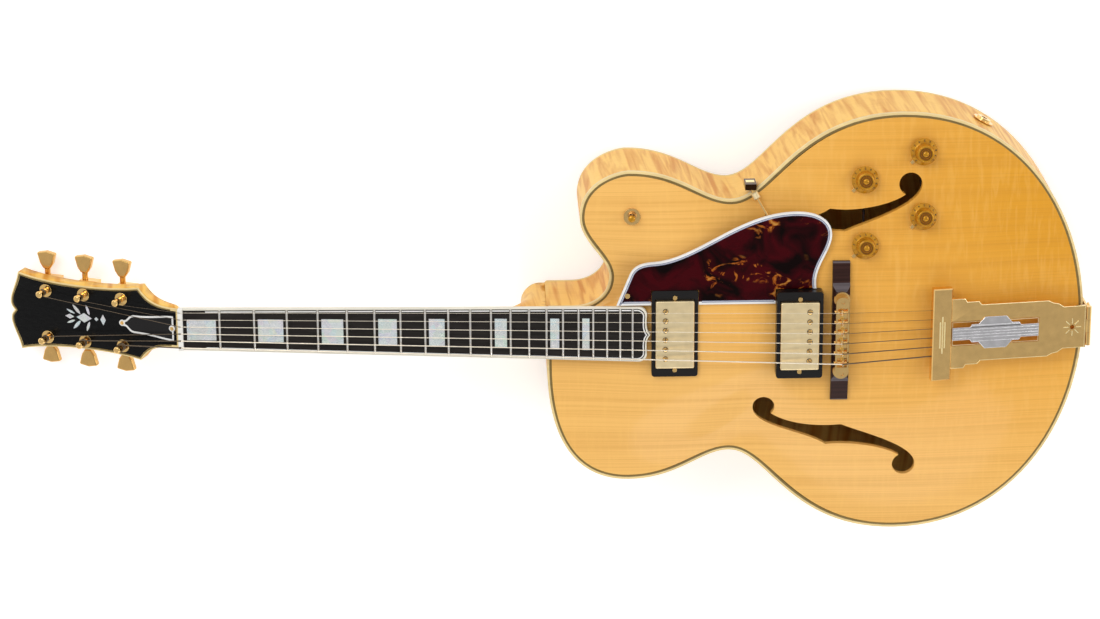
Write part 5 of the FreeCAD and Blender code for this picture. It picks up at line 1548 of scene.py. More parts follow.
@dataclass
class Headstock:
    """The black face of the head, its ornament and the truss-rod cover."""

    cover_from: float = 4.5
    cover_length: float = 60.0
    cover_half: float = 13.3
    cover_waist: float = 9.6
    cover_lobe: float = 3.4
    cover_t: float = 1.75
    border_w: float = 2.3
    border_sunk: float = 0.9
    proud: float = 0.12
    ring_r: float = 3.2
    ring_low: float = 0.9
    ring_top: float = 2.1
    ring_cut: Point = (0.4, 0.15)
    ring_sides: int = 28
    screw_in: float = 2.0
    screw_r: float = 1.9
    screw_h: float = 0.9
    screw_seed: int = 3
    ornament_at: float = 104.0
    pearl_t: float = 0.18
    pearl_sunk: float = 0.4
    # Each lozenge's place along the head, its half length and its half width
    lozenges: tuple[Triple, ...] = (
        (21.0, 3.0, 5.6), (13.5, 2.2, 2.2), (0.0, 8.5, 5.0), (-16.0, 5.0, 2.6),
    )
    # Each leaf's root along the head, its length, width and lean
    leaves: tuple[tuple[float, float, float, float], ...] = (
        (6.0, 11.0, 2.2, 1.9), (-4.0, 12.5, 2.6, 2.3), (-10.0, 10.0, 1.8, 2.75),
    )
    leaf_y: float = 3.4
    throat: float = 20.3
    # The throat's poles, as shares of the way to the low corner, and the rise of the second
    flare: Triple = (0.56, 0.77, 3.7)
    low: Point = (43.0, 37.8)
    low_pull: Point = (32.0, 6.3)
    top: Point = (176.0, 40.5)
    top_pull: Point = (36.0, 10.0)
    ear_pull: Point = (2.0, 12.5)
    bulge: Point = (185.5, 7.0)
    bulge_pull: Point = (1.5, 9.0)
    notch: float = 181.5
    notch_pull: Point = (0.5, 1.0)
    line_in: float = 1.1
    line_w: float = 1.6
    line_sunk: float = 0.6

    def edge(self) -> list[Point]:
        """The head's edge, from the nut round its crested end.

        Returns:
            Its points.
        """
        throat, notch = self.throat, self.notch
        (lx, ly), (tx, ty), (bx, by) = self.low, self.top, self.bulge
        start, end, rise = self.flare
        treble = [
            [(0, throat), (-start * lx, throat), (-end * lx, throat + rise), (-lx, ly)],
            [
                (-lx, ly), (-lx - self.low_pull[0], ly - self.low_pull[1]),
                (-tx + self.top_pull[0], ty - self.top_pull[1]), (-tx, ty),
            ],
            [
                (-tx, ty), (-tx - self.ear_pull[0], ty - self.ear_pull[1]),
                (-bx - self.bulge_pull[0], by + self.bulge_pull[1]), (-bx, by),
            ],
            [
                (-bx, by), (-bx + self.notch_pull[0], by / 2),
                (-notch - self.notch_pull[1], by / 5), (-notch, 0),
            ],
        ]
        bass = [mirrored(poles) for poles in reversed(treble)]
        return sampled(treble + bass + [[(0, -throat), (0, throat)]], steps=16)

    def cover_outline(self) -> list[Point]:
        """The bell-shaped edge of the truss-rod cover.

        Returns:
            Its points.
        """
        x0, half, waist = -self.cover_from, self.cover_half, self.cover_waist
        long, lobe = self.cover_length, self.cover_lobe
        x1 = x0 - long
        bell = (x0 - 0.7 * long, waist)
        root = (x1 + 2 * lobe, lobe)
        treble = [
            [(x0, half), (x0 - 0.2 * long, half), (x0 - 0.4 * long, waist), bell],
            [bell, (x0 - 0.82 * long, waist), (root[0] + lobe, 1.6 * lobe), root],
            [root, (x1 + 0.7 * lobe, lobe), (x1, 0.6 * lobe), (x1, 0)],
        ]
        bass = [mirrored(poles) for poles in reversed(treble)]
        return sampled(treble + bass + [[(x0, -half), (x0, half)]], steps=12)

    def leaf(self, at: Point, length: float, width: float, turn: float) -> list[Point]:
        """A pointed leaf that grows from a point in a direction.

        Args:
            at: The point.
            length: Its length.
            width: Its half width.
            turn: The direction.

        Returns:
            Its outline.
        """
        edge = [[(0, 0), (0.3 * length, width), (0.75 * length, 0.7 * width), (length, 0)]]
        whole = sampled(edge + [mirrored(edge[0])], steps=10)
        swing = Matrix.Rotation(turn, 2)
        return [tuple(Vector(at) + swing @ Vector(point)) for point in whole]

    def ornament(self) -> list[list[Point]]:
        """Lozenges on the centre line with leaves that spring from them.

        Returns:
            Their outlines.
        """
        shapes = []
        for shift, long, wide in self.lozenges:
            x = shift - self.ornament_at
            shapes.append([(x + long, 0), (x, wide), (x - long, 0), (x, -wide)])
        for side in Side:
            for shift, length, width, lean in self.leaves:
                root = (shift - self.ornament_at, side.value * self.leaf_y)
                shapes.append(self.leaf(root, length, width, side.value * lean))
        return shapes

    def cover(self) -> None:
        """Dresses the truss-rod cover, with its white border and ringed screws."""
        place = DATUM.head_place()
        dress("truss_rod_cover", BLACK)
        low, high = self.cover_t - self.border_sunk, self.cover_t + self.proud
        border = laminated(self.cover_outline(), [Ply(WHITE, self.border_w)], low, high, place)
        publish("cover_border", border[0], ROOT, "bone")
        tip = self.cover_from + self.cover_length - self.cover_lobe
        spots = [(-x, 0, self.ring_top) for x in (self.cover_from + self.screw_in, tip)]
        rim, top = self.ring_r, self.ring_top
        ring = (
            (0, self.ring_low), (rim, self.ring_low), (rim, top - self.ring_cut[1]),
            (rim - self.ring_cut[0], top), (0, top),
        )
        rings = [
            to_mesh(lathe(ring, place @ Matrix.Translation((x, 0, 0)), self.ring_sides), WHITE)
            for x, _, _ in spots
        ]
        publish("cover_screw_rings", joined(rings, WHITE), ROOT, "bone")
        screws = heads(spots, self.screw_r, self.screw_h, place, GOLD, self.screw_seed)
        publish("cover_screw_heads", screws, ROOT, "gold")

    def build(self) -> None:
        """Dresses the face, and lays its line, its pearl and the cover."""
        place = DATUM.head_place()
        dress("headstock_overlay", LACQUER)
        edge = inset(self.edge(), self.line_in)
        ply = Ply(OLIVE, self.line_w)
        line = laminated(edge, [ply], -self.line_sunk, self.proud, place, -4 * self.line_in)
        publish("head_line", line[0], ROOT, "binding")
        pearls = [
            to_mesh(plate(shape, -self.pearl_sunk, self.pearl_t, place), PEARL)
            for shape in self.ornament()
        ]
        publish("head_ornament", joined(pearls, PEARL), ROOT, "pearl")
        self.cover()


@dataclass
class Tuners:
    """Six keys with their posts, bushings and housings."""

    def build(self) -> None:
        """Dresses each tuner."""
        dress("tuner_housings", GOLD, 0.5)
        dress("tuner_bushings", GOLD, 0.3)
        for number in range(1, DATUM.strings + 1):
            dress("tuner_post_%d" % number, GOLD, 0.25)
            dress("tuner_key_%d" % number, KEY_GOLD, 0.4)


@dataclass
class StringSet:
    """Six strings, cut at the nut and the saddles."""

    cuts: int = 40
    sharp: float = 50.0

    def length_of(
        self, low: Optional[float], high: Optional[float], cuts: int, finish: Finish,
    ) -> Mesh:
        """The part of every string between two stations along the neck.

        Args:
            low: Where it starts, or None.
            high: Where it ends, or None.
            cuts: How many times it is divided.
            finish: Its finish.

        Returns:
            The mesh, with closed ends.
        """
        made = merged("strings", False)
        across = Vector((1, 0, 0))
        for station, keeps_low in ((low, False), (high, True)):
            if station is not None:
                sliced(
                    made, across * station, across,
                    clear_inner=not keeps_low, clear_outer=keeps_low,
                )
        ends = [edge for edge in made.edges if edge.is_boundary]
        bmesh.ops.holes_fill(made, edges=ends)
        for step in range(1, cuts):
            sliced(made, across * (low + (high - low) * step / cuts), across)
        return to_mesh(made, finish, self.sharp)

    def build(self) -> None:
        """Makes the run behind the nut, the sounding length and the run to the tail."""
        nut = sum(corner.x for corner in map(Vector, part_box("string_nut"))) / 2
        bridge = DATUM.bridge_x * MM
        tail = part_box("strings")[1][0]
        nut_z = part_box("string_nut")[1][2]
        tail_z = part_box("tailpiece_frame")[1][2]
        # The run behind the nut gets painted shade, a dark steel
        publish("string_windings", self.length_of(None, nut, 1, STEEL_SHADE), ROOT, "nickel", "strings")
        # The tails past the bridge get painted shade, a dark steel; the sounding lengths keep the string colour
        runs = (
            ("string_lengths", (nut, bridge), self.cuts, (nut, 0, nut_z), WOUND),
            ("string_tails", (bridge, tail + MM), self.cuts // 4, (tail, 0, tail_z), STEEL_SHADE),
        )
        for name, (low, high), cuts, fixed, finish in runs:
            mesh = self.length_of(low, high, cuts, finish)
            mesh.name = name
            piece = linked(name, mesh)
            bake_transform(piece)
            settle(piece, "nickel", "strings")


@dataclass
class Bridge:
    """Base, posts, thumbwheels, bar and saddles."""

    wheel_r: float = 8.0
    groove: float = 0.45
    sides: int = 96
    base_half_w: float = 8.5
    base_half_l: float = 72.0
    hip: float = 3.4
    end_hip: float = 1.4
    tip_l: float = 0.1
    # The bounds of a facet's normal within which it gets a painted sheen
    burnish: Point = (0.2, 0.95)

    def base(self) -> None:
        """Cuts hips along the raised block of the base and across its ends, and paints a sheen on the facets that
        slope across it.
        """
        made = merged("bridge_base", False)
        tip = (self.base_half_l - self.tip_l) * MM
        end_z = max(vertex.co.z for vertex in made.verts if abs(vertex.co.y) > tip) / MM
        hip_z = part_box("bridge_base")[1][2] / MM - self.hip
        for side in Side:
            way = side.value
            flank = ((DATUM.bridge_x + way * self.base_half_w, 0, hip_z), (way, 0, 1))
            end = ((0, way * self.base_half_l, end_z - self.end_hip), (0, way, 1))
            for spot, normal in (flank, end):
                cut = sliced(made, MM * Vector(spot), Vector(normal).normalized(), clear_outer=True)
                bmesh.ops.holes_fill(made, edges=cut)
        bmesh.ops.recalc_face_normals(made, faces=made.faces)
        mesh = softened(to_mesh(made, PLUM), 0.0, FACETED)
        # Facets that slope across the base get a lighter ebony, a painted sheen
        low, high = self.burnish
        two_tone(
            mesh, PLUM, EBONY_SHEEN,
            lambda face: low < abs(face.normal.y) < high and face.normal.z > low,
        )
        publish("bridge_base_hipped", mesh, ROOT, "ebony", "bridge_base")

    def build(self) -> None:
        """Dresses the bridge and knurls its wheels."""
        self.base()
        dress("bridge_posts", GOLD, 0.2)
        dress("bridge_bar", GOLD, 0.35)
        for number in range(1, DATUM.strings + 1):
            # The saddles are in a pale gold that paints their sparkle, a painted highlight
            dress("saddle_%d" % number, GOLD_HIGHLIGHT, 0.15)
        for side in Side:
            node = "thumbwheel_" + side.name.lower()
            low, high = map(Vector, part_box(node))
            mesh = grown(
                knurl_tree(), GOLD, Radius=self.wheel_r * MM, Thickness=(high - low).z,
                Groove=self.groove * MM, Sides=self.sides,
            )
            mesh.transform(Matrix.Translation((low + high) / 2))
            publish(node + "_knurled", mesh, BODY_OF[node], SLOT_OF[node], node)


@dataclass
class Tailpiece:
    """The plated frame, its ridged insert, its hinge bracket and the strap button."""

    hinge: Point = (247.0, 115.7)
    slope: float = 7.75
    cross_from: float = 139.5
    cross_w: float = 19.3
    top: float = 3.0
    plate_top: float = 1.5
    plate_half: float = 29.0
    end_half: float = 21.7
    end_l: float = 26.0
    step_l: float = 16.0
    fin_half: float = 36.0
    fin_mid_half: float = 32.5
    fin_l: float = 13.0
    fin_mid_l: float = 27.0
    fin_slope: float = 2.0
    fin_mid_slope: float = 3.0
    lip: float = 4.0
    lap: float = 1.0
    insert_top: float = 3.1
    slot_from: float = 51.0
    slot_half: float = 12.6
    bead: float = 0.6
    bead_sunk: float = 0.4
    bead_proud: float = 0.3
    # Each tier of ridges on the insert: its y, count, length and pitch
    tiers: tuple[tuple[float, int, float, float], ...] = (
        (0.0, 4, 86.0, 2.9), (8.1, 1, 49.0, 1.0), (-8.1, 1, 49.0, 1.0),
    )
    tier_r: float = 0.7
    tier_sunk: float = 0.35
    # The y, length and radius of the black rod that paints a groove's shade
    groove: Triple = (6.4, 50.0, 0.45)
    groove_sunk: float = 0.3
    star_at: float = 17.0
    rays_n: int = 8
    ray_r: float = 6.4
    ray_l: float = 5.2
    ray_w: float = 0.8
    # Each group of lines across the bar: its count, length and pitch
    bar_lines: tuple[tuple[str, int, float, float], ...] = (
        ("crossbar_line", 1, 38.0, 1.0), ("crossbar_pair", 2, 27.0, 4.4),
    )
    bar_line_r: float = 0.75
    bar_line_sunk: float = 0.3

    def place(self) -> Matrix:
        """The frame of the plate, with its origin at the hinge."""
        tilt = math.radians(self.slope)
        return Matrix.Translation((self.hinge[0], 0, self.hinge[1])) @ Matrix.Rotation(tilt, 4, "Y")

    def outline(self) -> list[Point]:
        """The stepped edge of the plate.

        Returns:
            Its points.
        """
        bar, end, step = -self.cross_from, -self.end_l, self.step_l
        middle = (self.end_half + self.plate_half) / 2
        treble = [
            (-self.lip, self.end_half), (end, self.end_half), (end - step / 3, middle),
            (end - 2 * step / 3, middle + self.lap), (end - step, self.plate_half),
            (bar + self.fin_mid_l + self.fin_mid_slope, self.plate_half),
            (bar + self.fin_mid_l, self.fin_mid_half),
            (bar + self.fin_l + self.fin_slope, self.fin_mid_half),
            (bar + self.fin_l, self.fin_half), (bar - self.lap, self.fin_half),
        ]
        return treble + mirrored(treble)

    def ridges(
        self, name: str, finish: Finish, middle: Triple, count: int, length: float, pitch: float,
        radius: float, turn: float = 0.0,
    ) -> None:
        """A row of ridges on the plate.

        Args:
            name: The piece's name.
            finish: Its finish.
            middle: The row's middle, in the plate's frame.
            count: How many ridges there are.
            length: How long each is.
            pitch: How far apart they lie.
            radius: How round they are.
            turn: How far the row is turned in the plate's plane.
        """
        mesh = grown(
            ridge_tree(), finish, Count=count, Length=length * MM, Radius=radius * MM,
            Pitch=pitch * MM,
        )
        first = Matrix.Translation((0, -pitch * (count - 1) / 2, 0))
        row = Matrix.Translation(middle) @ Matrix.Rotation(turn, 4, "Z") @ first
        slot = {SILVER: "nickel", BLACK: "black_plastic"}.get(finish, "gold")
        publish(name, shifted(mesh, self.place() @ row), ROOT, slot)

    def beads(self) -> None:
        """Raised beads along the plate's edge and round its slot, in a pale gold that paints their edge highlight.
        """
        near, far, half = -self.slot_from, -self.cross_from, self.slot_half
        slot = [(near, half), (far, half), (far, -half), (near, -half)]
        ply = Ply(GOLD_HIGHLIGHT, self.bead)
        low, high = self.plate_top - self.bead_sunk, self.plate_top + self.bead_proud
        for name, line in (("plate_bead", self.outline()), ("slot_bead", inset(slot, -self.bead))):
            publish(name, laminated(line, [ply], low, high, self.place())[0], ROOT, "gold")

    def insert(self) -> None:
        """The silver insert with its tiers of ridges, and a black rod that paints the shade of a groove."""
        dress("tailpiece_insert", SILVER, 0.7)
        middle = -(self.cross_from + self.slot_from) / 2
        y, length, radius = self.groove
        spot = (middle, y, self.insert_top - self.groove_sunk)
        # A black rod sunk along the insert: painted shade of a groove
        self.ridges("insert_groove", BLACK, spot, 1, length, 1.0, radius)
        for number, (y, count, length, pitch) in enumerate(self.tiers):
            name = "insert_ridges_%d" % number
            spot = (middle, y, self.insert_top - self.tier_sunk)
            self.ridges(name, SILVER, spot, count, length, pitch, self.tier_r)

    def rays(self) -> None:
        """A ring of short rays round the hole near the hinge, in a pale gold that paints their highlight."""
        fan = grown(
            fan_tree(), GOLD_HIGHLIGHT, Count=self.rays_n, Radius=self.ray_r * MM, Length=self.ray_l * MM,
            Width=self.ray_w * MM,
        )
        middle = Matrix.Translation((-self.star_at, 0, self.plate_top))
        publish("plate_rays", shifted(fan, self.place() @ middle), ROOT, "gold")

    def build(self) -> None:
        """Dresses the frame and lays its raised work."""
        dress("tailpiece_frame", GOLD, sharp=FACETED)
        dress("tailpiece_bracket", GOLD, 0.4)
        dress("strap_button", SATIN, 0.3)
        self.insert()
        self.beads()
        self.rays()
        # The lines across the bar are in a pale gold that paints their highlight
        bar = (-self.cross_from - self.cross_w / 2, 0, self.top - self.bar_line_sunk)
        for name, count, length, pitch in self.bar_lines:
            self.ridges(
                name, GOLD_HIGHLIGHT, bar, count, length, pitch, self.bar_line_r, math.pi / 2,
            )


@dataclass
class Pickups:
    """Two covered pickups in black rings, with slotted pole screws."""

    pole_r: float = 2.4
    pole_h: float = 0.4
    pole_gap: float = 0.45
    offset: float = 9.4
    neck_spread: float = 49.2
    bridge_spread: float = 50.6
    hole_sides: int = 24
    first_seed: int = 11

    def build(self) -> None:
        """Dresses rings and covers, sets the pole screws and lays a thin dark disc of painted shade under each."""
        dress("pickup_rings", BLACK, 0.5)
        units = (
            ("neck_pickup", DATUM.neck_pickup_x - self.offset, self.neck_spread),
            ("bridge_pickup", DATUM.bridge_pickup_x + self.offset, self.bridge_spread),
        )
        for number, (node, x, spread) in enumerate(units):
            dress(node, SATIN, 0.7)
            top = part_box(node)[1][2] / MM
            spots = [(x, DATUM.lane(spread, index), top) for index in range(DATUM.strings)]
            seed = self.first_seed + number
            poles = heads(spots, self.pole_r, self.pole_h, Matrix(), GOLD, seed)
            publish(node + "_poles", poles, BODY_OF[node], "gold")
            # A thin dark disc on the cover round each pole screw, not a hole: painted shade where the hole's edge
            # looks dark
            wide, thick = self.pole_r + self.pole_gap, self.pole_h / 3
            disc = ((0, 0), (wide, 0), (wide, thick), (0, thick))
            holes = [
                to_mesh(lathe(disc, Matrix.Translation(spot), self.hole_sides), STEEL_SHADE)
                for spot in spots
            ]
            publish(node + "_holes", joined(holes, STEEL_SHADE), BODY_OF[node], "gold")


@dataclass
class Controls:
    """Knobs, pots with their pointers, the toggle and the jack."""

    low: float = 4.2
    skirt_r: float = 13.3
    skirt_h: float = 3.6
    body_r: float = 9.2
    top_r: float = 8.2
    tall: float = 13.5
    # The knob's profile: radii and heights past the axis and base, the skirt's edge and base,
    # the body and the skirt's top, the top's edge and crown, and the axis and crown
    bore: tuple[Point, ...] = ((0, 1.6), (8.4, 1.6), (8.6, 0))
    rim: tuple[Point, ...] = ((-0.3, 0), (0, 0.3), (0, 0.9), (-0.4, 1.3))
    waist: tuple[Point, ...] = ((1.0, -0.2), (0.2, 0.3), (0, 1.0))
    brow: tuple[Point, ...] = ((0, -0.9), (-0.3, -0.3), (-0.9, 0))
    dish: tuple[Point, ...] = (
        (6.3, 0), (6.0, -1.0), (4.9, -1.0), (4.6, -0.5), (4.2, -1.0), (3.1, -1.0), (2.9, 0),
        (2.3, 0.6), (1.3, 0.85), (0, 0.95),
    )
    # The radii of the dish faces that get painted shade, and the depth under the crown past which they lie
    dark_r: Point = (2.8, 6.2)
    dark_under: float = 0.85
    knob_sides: int = 64
    digits: int = 11
    digit_size: float = 3.4
    digit_t: float = 0.05
    digit_up: float = 2.45
    digit_out: float = 0.6
    digit_from: float = 225.0
    digit_turn: float = 27.0
    # Where the skirt's slope begins: past the body's radius, and over the base
    skirt_slope: Point = (1.2, 1.3)
    tip_l: float = 8.2

    def knob_profile(self) -> list[Point]:
        """The turned outline of a knob, with fine rings round its crown.

        Returns:
            Radii and heights from axis to axis.
        """
        shoulder, crown = self.low + self.skirt_h, self.low + self.tall
        runs = (
            (self.bore, 0.0, self.low), (self.rim, self.skirt_r, self.low),
            (self.waist, self.body_r, shoulder), (self.brow, self.top_r, crown),
            (self.dish, 0.0, crown),
        )
        return [(radius + r, level + z) for run, radius, level in runs for r, z in run]

    def numbers(self, place: Matrix) -> Mesh:
        """Dial numbers round a knob's skirt.

        Args:
            place: The knob's frame.

        Returns:
            One mesh of all the numbers.
        """
        parts = []
        run, drop = self.skirt_slope
        rise = math.atan2(self.skirt_h - drop, self.skirt_r - self.body_r - run)
        out = 0.5 * (self.skirt_r + self.body_r + self.digit_out)
        lean = Matrix.Rotation(rise, 4, "Y") @ Matrix.Rotation(math.pi / 2, 4, "Z")
        spot = Matrix.Translation((out, 0, self.low + self.digit_up)) @ lean
        for count in range(self.digits):
            text = bpy.data.curves.new("number", "FONT")
            text.body = str(count)
            text.size = self.digit_size
            text.align_x = "CENTER"
            text.align_y = "CENTER"
            text.extrude = self.digit_t
            mesh = taken(linked("number", text))
            bpy.data.curves.remove(text)
            angle = math.radians(self.digit_from - self.digit_turn * count)
            turn = Matrix.Rotation(angle, 4, "Z")
            mesh.transform(Matrix.Scale(MM, 4) @ place @ turn @ spot)
            parts.append(mesh)
        return joined(parts, BLACK)

    def knob(self, number: int) -> None:
        """Turns a knob, with painted shade on the floor of its dish, and its numbers.

        Args:
            number: Which knob it is.
        """
        joint = JOINTS["knob_turn_%d" % number]
        place = stood(joint["pos_m"], joint["axis"])
        upright = place.inverted()

        def sunk(face: bpy.types.MeshPolygon) -> bool:
            """Whether a face lies in the dish.

            Args:
                face: The face.

            Returns:
                True if it does.
            """
            spot = upright @ (face.center / MM)
            inside = self.dark_r[0] < Vector(spot[:2]).length < self.dark_r[1]
            return inside and self.skirt_h < spot.z - self.low < self.tall - self.dark_under

        node = "knob_%d" % number
        mesh = to_mesh(lathe(self.knob_profile(), place, self.knob_sides), AMBER, CARVED)
        # Faces in the dish's grooves get painted shade
        two_tone(mesh, AMBER, AMBER_SHADE, sunk)
        publish(node + "_turned", mesh, BODY_OF[node], SLOT_OF[node], node)
        publish(node + "_numbers", self.numbers(place), BODY_OF[node], "black_plastic")

    def build(self) -> None:
        """Turns the knobs and dresses the rest."""
        for number in range(1, 5):
            self.knob(number)
        dress("pots", GOLD, 0.15)
        dress("switch_body", GOLD, 0.2)
        lever = dress("toggle_lever", STEEL, 0.15)
        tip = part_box("toggle_lever")[1][2] - self.tip_l * MM
        two_tone(lever.data, STEEL, AMBER, lambda face: face.center.z > tip)
        dress("output_jack", GOLD, 0.3)
        dress("wiring_harness", CABLE)


@dataclass
class Guard:
    """The pickguard with its laminated edge, bracket and screws."""

    low_y: float = 30.0
    left: float = -219.0
    right: float = -18.6
    top: Point = (-44.0, 123.5)
    nose: Point = (-9.0, 100.0)
    shoulder: Point = (-206.0, 62.0)
    brow: Point = (-182.0, 74.0)
    dip: Point = (-23.8, 52.0)
    face_z: float = 123.5
    white_w: float = 2.0
    plies: tuple[Ply, ...] = (Ply(GREY, 0.9), Ply(WHITE, 0.4), Ply(GREY, 0.6))
    ply_t: float = 0.6
    ply_sunk: float = 0.2
    ply_soft: float = 0.1
    room_half_w: float = 23.4
    room_half_l: float = 45.1
    block_at: float = -87.5
    block_t: float = 6.0
    block_seam: float = 0.3
    # The pale plate that paints a highlight on the clasp's outer face: its half sizes, drop, depth, rise and
    # chamfer
    shine: Point = (3.6, 4.2)
    shine_drop: float = 6.5
    shine_sunk: float = 0.2
    shine_proud: float = 0.3
    shine_edge: float = 0.15
    foot: Point = (-66.0, 108.0)
    rod_low: float = 1.4
    rod_high: float = 15.85
    nut_at: float = 7.0
    nut_r: float = 3.8
    nut_l: float = 7.0
    nut_cut: float = 0.6
    nut_sides: int = 24

    def outline(self) -> list[Point]:
        """The guard's edge, from its lower left corner round to it again.

        Returns:
            Its points.
        """
        low = self.low_y
        (sx, sy), (bx, by), (tx, ty) = self.shoulder, self.brow, self.top
        (nx, ny), (dx, dy) = self.nose, self.dip
        drop = dy - low
        sweep = self.right - 0.56 * (self.right - dx)
        return sampled([
            [(self.left, low), (sx, sy)],
            [
                (sx, sy), (sx + (bx - sx) / 6, by - (by - sy) / 4),
                (bx - (bx - sx) / 2.2, by - 0.6), (bx, by),
            ],
            [
                (bx, by), (bx + 0.3 * (tx - bx), by + 0.05 * (ty - by)),
                (tx - 0.4 * (tx - bx), ty), (tx, ty),
            ],
            [(tx, ty), (tx + 0.68 * (nx - tx), ty), (nx, ny + 0.55 * (ty - ny)), (nx, ny)],
            [(nx, ny), (nx, ny - (ny - dy) / 3), (dx, dy + 0.375 * (ny - dy)), (dx, dy)],
            [(dx, dy), (dx, dy - 0.36 * drop), (sweep, low + 0.32 * drop), (self.right, low)],
            [(self.right, low), (self.left, low)],
        ], steps=48)

    def clear(self, point: Point) -> bool:
        """Whether a point lies outside the rooms cut for the pickup rings.

        Args:
            point: The point.

        Returns:
            True if it does.
        """
        rooms = (DATUM.neck_pickup_x, DATUM.bridge_pickup_x)
        near = any(abs(point[0] - x) < self.room_half_w for x in rooms)
        return not near or point[1] > self.room_half_l

    def lines(self) -> None:
        """Lays the thin plies inside the white edge, broken at the pickup rings."""
        depth = self.white_w
        for number, ply in enumerate(self.plies):
            path = inset(self.outline(), depth + ply.width / 2)
            first = next(k for k in range(len(path)) if not self.clear(path[k]))
            runs: list[list[Point]] = [[]]
            for point in path[first:] + path[:first]:
                if self.clear(point):
                    runs[-1].append(point)
                elif runs[-1]:
                    runs.append([])
            lines = [
                lined(run, self.face_z - self.ply_sunk, Matrix(), False)
                for run in runs if len(run) > 1
            ]
            strips = [
                strip(line, ply.finish, ply.width, self.ply_t, self.ply_soft) for line in lines
            ]
            publish("guard_ply_%d" % number, joined(strips, ply.finish), ROOT, "binding")
            depth += ply.width

    def clasp(self) -> None:
        """Dresses the clasp on the rim, with its block painted dark as painted reflection, a pale plate on its
        outer face as a painted highlight, and the nut on its rod.
        """
        mesh = dress("pickguard_bracket", GOLD, 0.2).data
        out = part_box("pickguard_bracket")[1][1] / MM
        seam = out - self.block_t - self.block_seam
        # The clasp's block gets painted reflection: a dark gold where polished gold mirrors dark surroundings
        two_tone(mesh, GOLD, GOLD_DARK_REFLECTION, lambda face: face.center.y / MM > seam)
        # A pale gold plate on the block's outer face is a painted highlight
        across, along = self.shine
        corners = ((-along, -across), (along, -across), (along, across), (-along, across))
        spot = Vector((self.block_at, out, DATUM.rim_top - self.shine_drop)) * MM
        face = plate(
            corners, -self.shine_sunk, self.shine_proud, stood(spot, (0, 1, 0)), self.shine_edge,
        )
        publish("clasp_face", to_mesh(face, GOLD_HIGHLIGHT), ROOT, "gold")
        start = Vector((self.block_at, out - self.block_t / 2, DATUM.rim_top + self.rod_low))
        way = (Vector((*self.foot, DATUM.rim_top + self.rod_high)) - start).normalized()
        rim, cut, end = self.nut_r, self.nut_cut, self.nut_l
        profile = ((0, 0), (rim - cut, 0), (rim, cut), (rim, end - cut), (rim - cut, end), (0, end))
        nut = lathe(profile, stood((start + way * self.nut_at) * MM, way), self.nut_sides)
        publish("clasp_nut", to_mesh(nut, SATIN), ROOT, "gold")

    def build(self) -> None:
        """Dresses the guard and its fittings."""
        dress("pickguard", TORTOISE)
        dress("pickguard_binding", WHITE)
        self.lines()
        self.clasp()
        dress("small_screws", GOLD, 0.2)


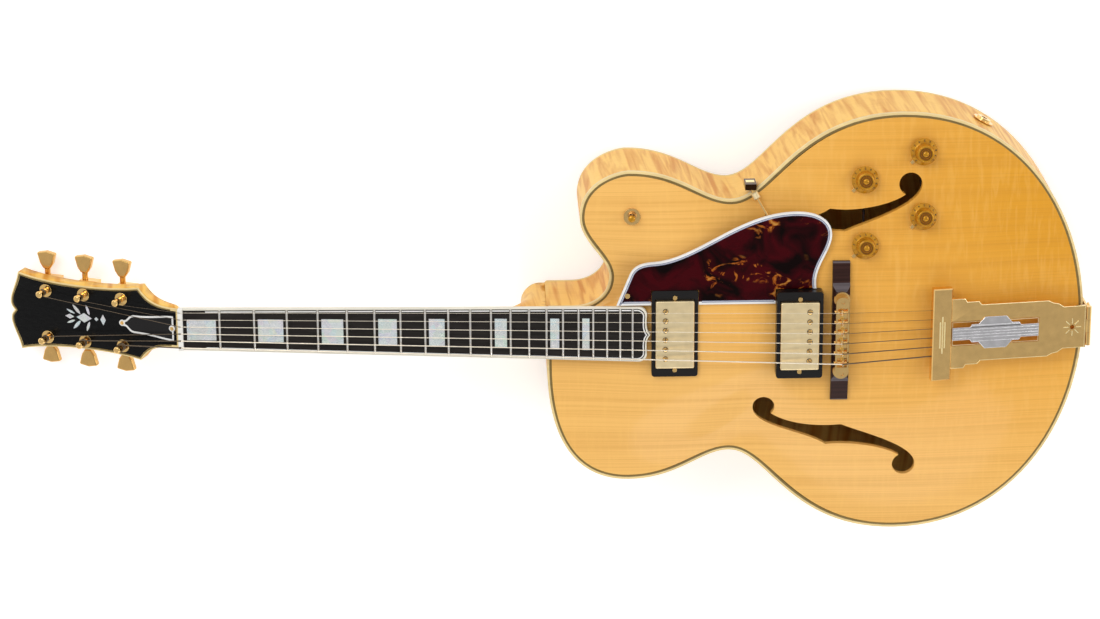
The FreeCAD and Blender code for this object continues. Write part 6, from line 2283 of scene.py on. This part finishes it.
@dataclass
class Studio:
    """Floor, lamps, surroundings and camera."""

    eye: Triple = (-0.36473, 1.1386, 3.3965)
    right: Triple = (0.99963, -0.00570, 0.02652)
    up: Triple = (0.01392, 0.94690, -0.32122)
    back: Triple = (-0.02328, 0.32147, 0.94664)
    lens: float = 115.65
    sensor: float = 36.0
    zenith: float = 0.5
    aim: Triple = (-0.15, 0.0, 0.08)
    # Each soft box: its name, place, size and power
    boxes: tuple[tuple[str, Triple, Point, float], ...] = (
        ("key_box", (-1.3, 1.6, 2.1), (1.6, 1.0), 24.0),
        ("side_box", (1.9, 0.6, 1.9), (1.0, 1.4), 14.0),
        ("sheen_box", (0.2, -1.7, 2.0), (2.0, 0.6), 9.0),
    )
    floor_half: float = 9.0
    floor_gap: float = 0.0004
    floor_glow: float = 0.42
    floor_tones: Stops = ((0.0, (0.86, 0.86, 0.86)), (1.0, (0.88, 0.88, 0.88)))

    def camera(self) -> None:
        """Sets the camera where the photograph was taken from."""
        data = bpy.data.cameras.new("camera")
        data.lens = self.lens
        data.sensor_width = self.sensor
        data.sensor_fit = "HORIZONTAL"
        camera = linked("camera", data)
        turn = Matrix((self.right, self.up, self.back)).transposed().to_4x4()
        camera.matrix_world = Matrix.Translation(self.eye) @ turn
        bpy.context.scene.camera = camera

    def lamp(self, name: str, at: Triple, size: Point, power: float) -> None:
        """Hangs a soft box that looks at the body.

        Args:
            name: Its name.
            at: Its place.
            size: Its sides.
            power: Its power.
        """
        data = bpy.data.lights.new(name, "AREA")
        data.shape = "RECTANGLE"
        data.size, data.size_y = size
        data.energy = power
        way = Vector(self.aim) - Vector(at)
        turn = way.to_track_quat("-Z", "Y").to_matrix().to_4x4()
        linked(name, data).matrix_world = Matrix.Translation(at) @ turn

    def seen(self, board: Board) -> Socket:
        """One for rays that show the surroundings: camera, glossy and transmission rays.

        Args:
            board: The material's nodes.

        Returns:
            The socket.
        """
        path = board.add("ShaderNodeLightPath").outputs
        shiny = board.number("MAXIMUM", path["Is Camera Ray"], path["Is Glossy Ray"])
        return board.number("MAXIMUM", shiny, path["Is Transmission Ray"])

    def surroundings(self) -> None:
        """A white world that is dimmer overhead, where the soft boxes hang."""
        world = bpy.data.worlds.new("surroundings")
        world.use_nodes = True
        bpy.context.scene.world = world
        nodes, links = world.node_tree.nodes, world.node_tree.links
        heading = nodes.new("ShaderNodeTexCoord")
        split = nodes.new("ShaderNodeSeparateXYZ")
        links.new(heading.outputs["Generated"], split.inputs[0])
        strength = nodes.new("ShaderNodeMapRange")
        strength.interpolation_type = "SMOOTHSTEP"
        levels = {"From Min": 0.1, "From Max": 0.9, "To Min": 1.0, "To Max": self.zenith}
        for name, value in levels.items():
            strength.inputs[name].default_value = value
        links.new(split.outputs["Z"], strength.inputs["Value"])
        backing = nodes["Background"]
        backing.inputs["Color"].default_value = (1, 1, 1, 1)
        links.new(strength.outputs["Result"], backing.inputs["Strength"])

    def floor(self) -> None:
        """A pale floor that keeps the shadow and still reads as white."""
        made = bmesh.new()
        bmesh.ops.create_grid(made, x_segments=2, y_segments=2, size=self.floor_half)
        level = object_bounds()[0][2] - self.floor_gap
        bmesh.ops.translate(made, vec=(0, 0, level), verts=made.verts)
        mesh = freed(made)
        board = Board("floor")
        tone = board.ramp(board.noise(board.coords, 2.0), self.floor_tones)
        glow = board.number("MULTIPLY", self.seen(board), self.floor_glow)
        board.surface(
            Base_Color=tone, Roughness=0.9, Emission_Color=(1.0, 1.0, 1.0, 1.0),
            Emission_Strength=glow,
        )
        mesh.materials.append(board.material)
        linked("floor", mesh)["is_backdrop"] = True

    def build(self) -> None:
        """Sets the studio up."""
        bpy.context.scene.view_settings.view_transform = "Standard"
        self.camera()
        self.surroundings()
        self.floor()
        for box in self.boxes:
            self.lamp(*box)


def main() -> None:
    """Builds every sub-assembly in order."""
    logging.basicConfig(level=logging.INFO, format="%(name)s %(message)s")
    for part in (
        Body(), Neck(), Headstock(), Tuners(), StringSet(), Bridge(), Tailpiece(), Pickups(),
        Controls(), Guard(), Studio(),
    ):
        LOG.info("building %s", type(part).__name__)
        part.build()
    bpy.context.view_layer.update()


if __name__ == "__main__":
    main()
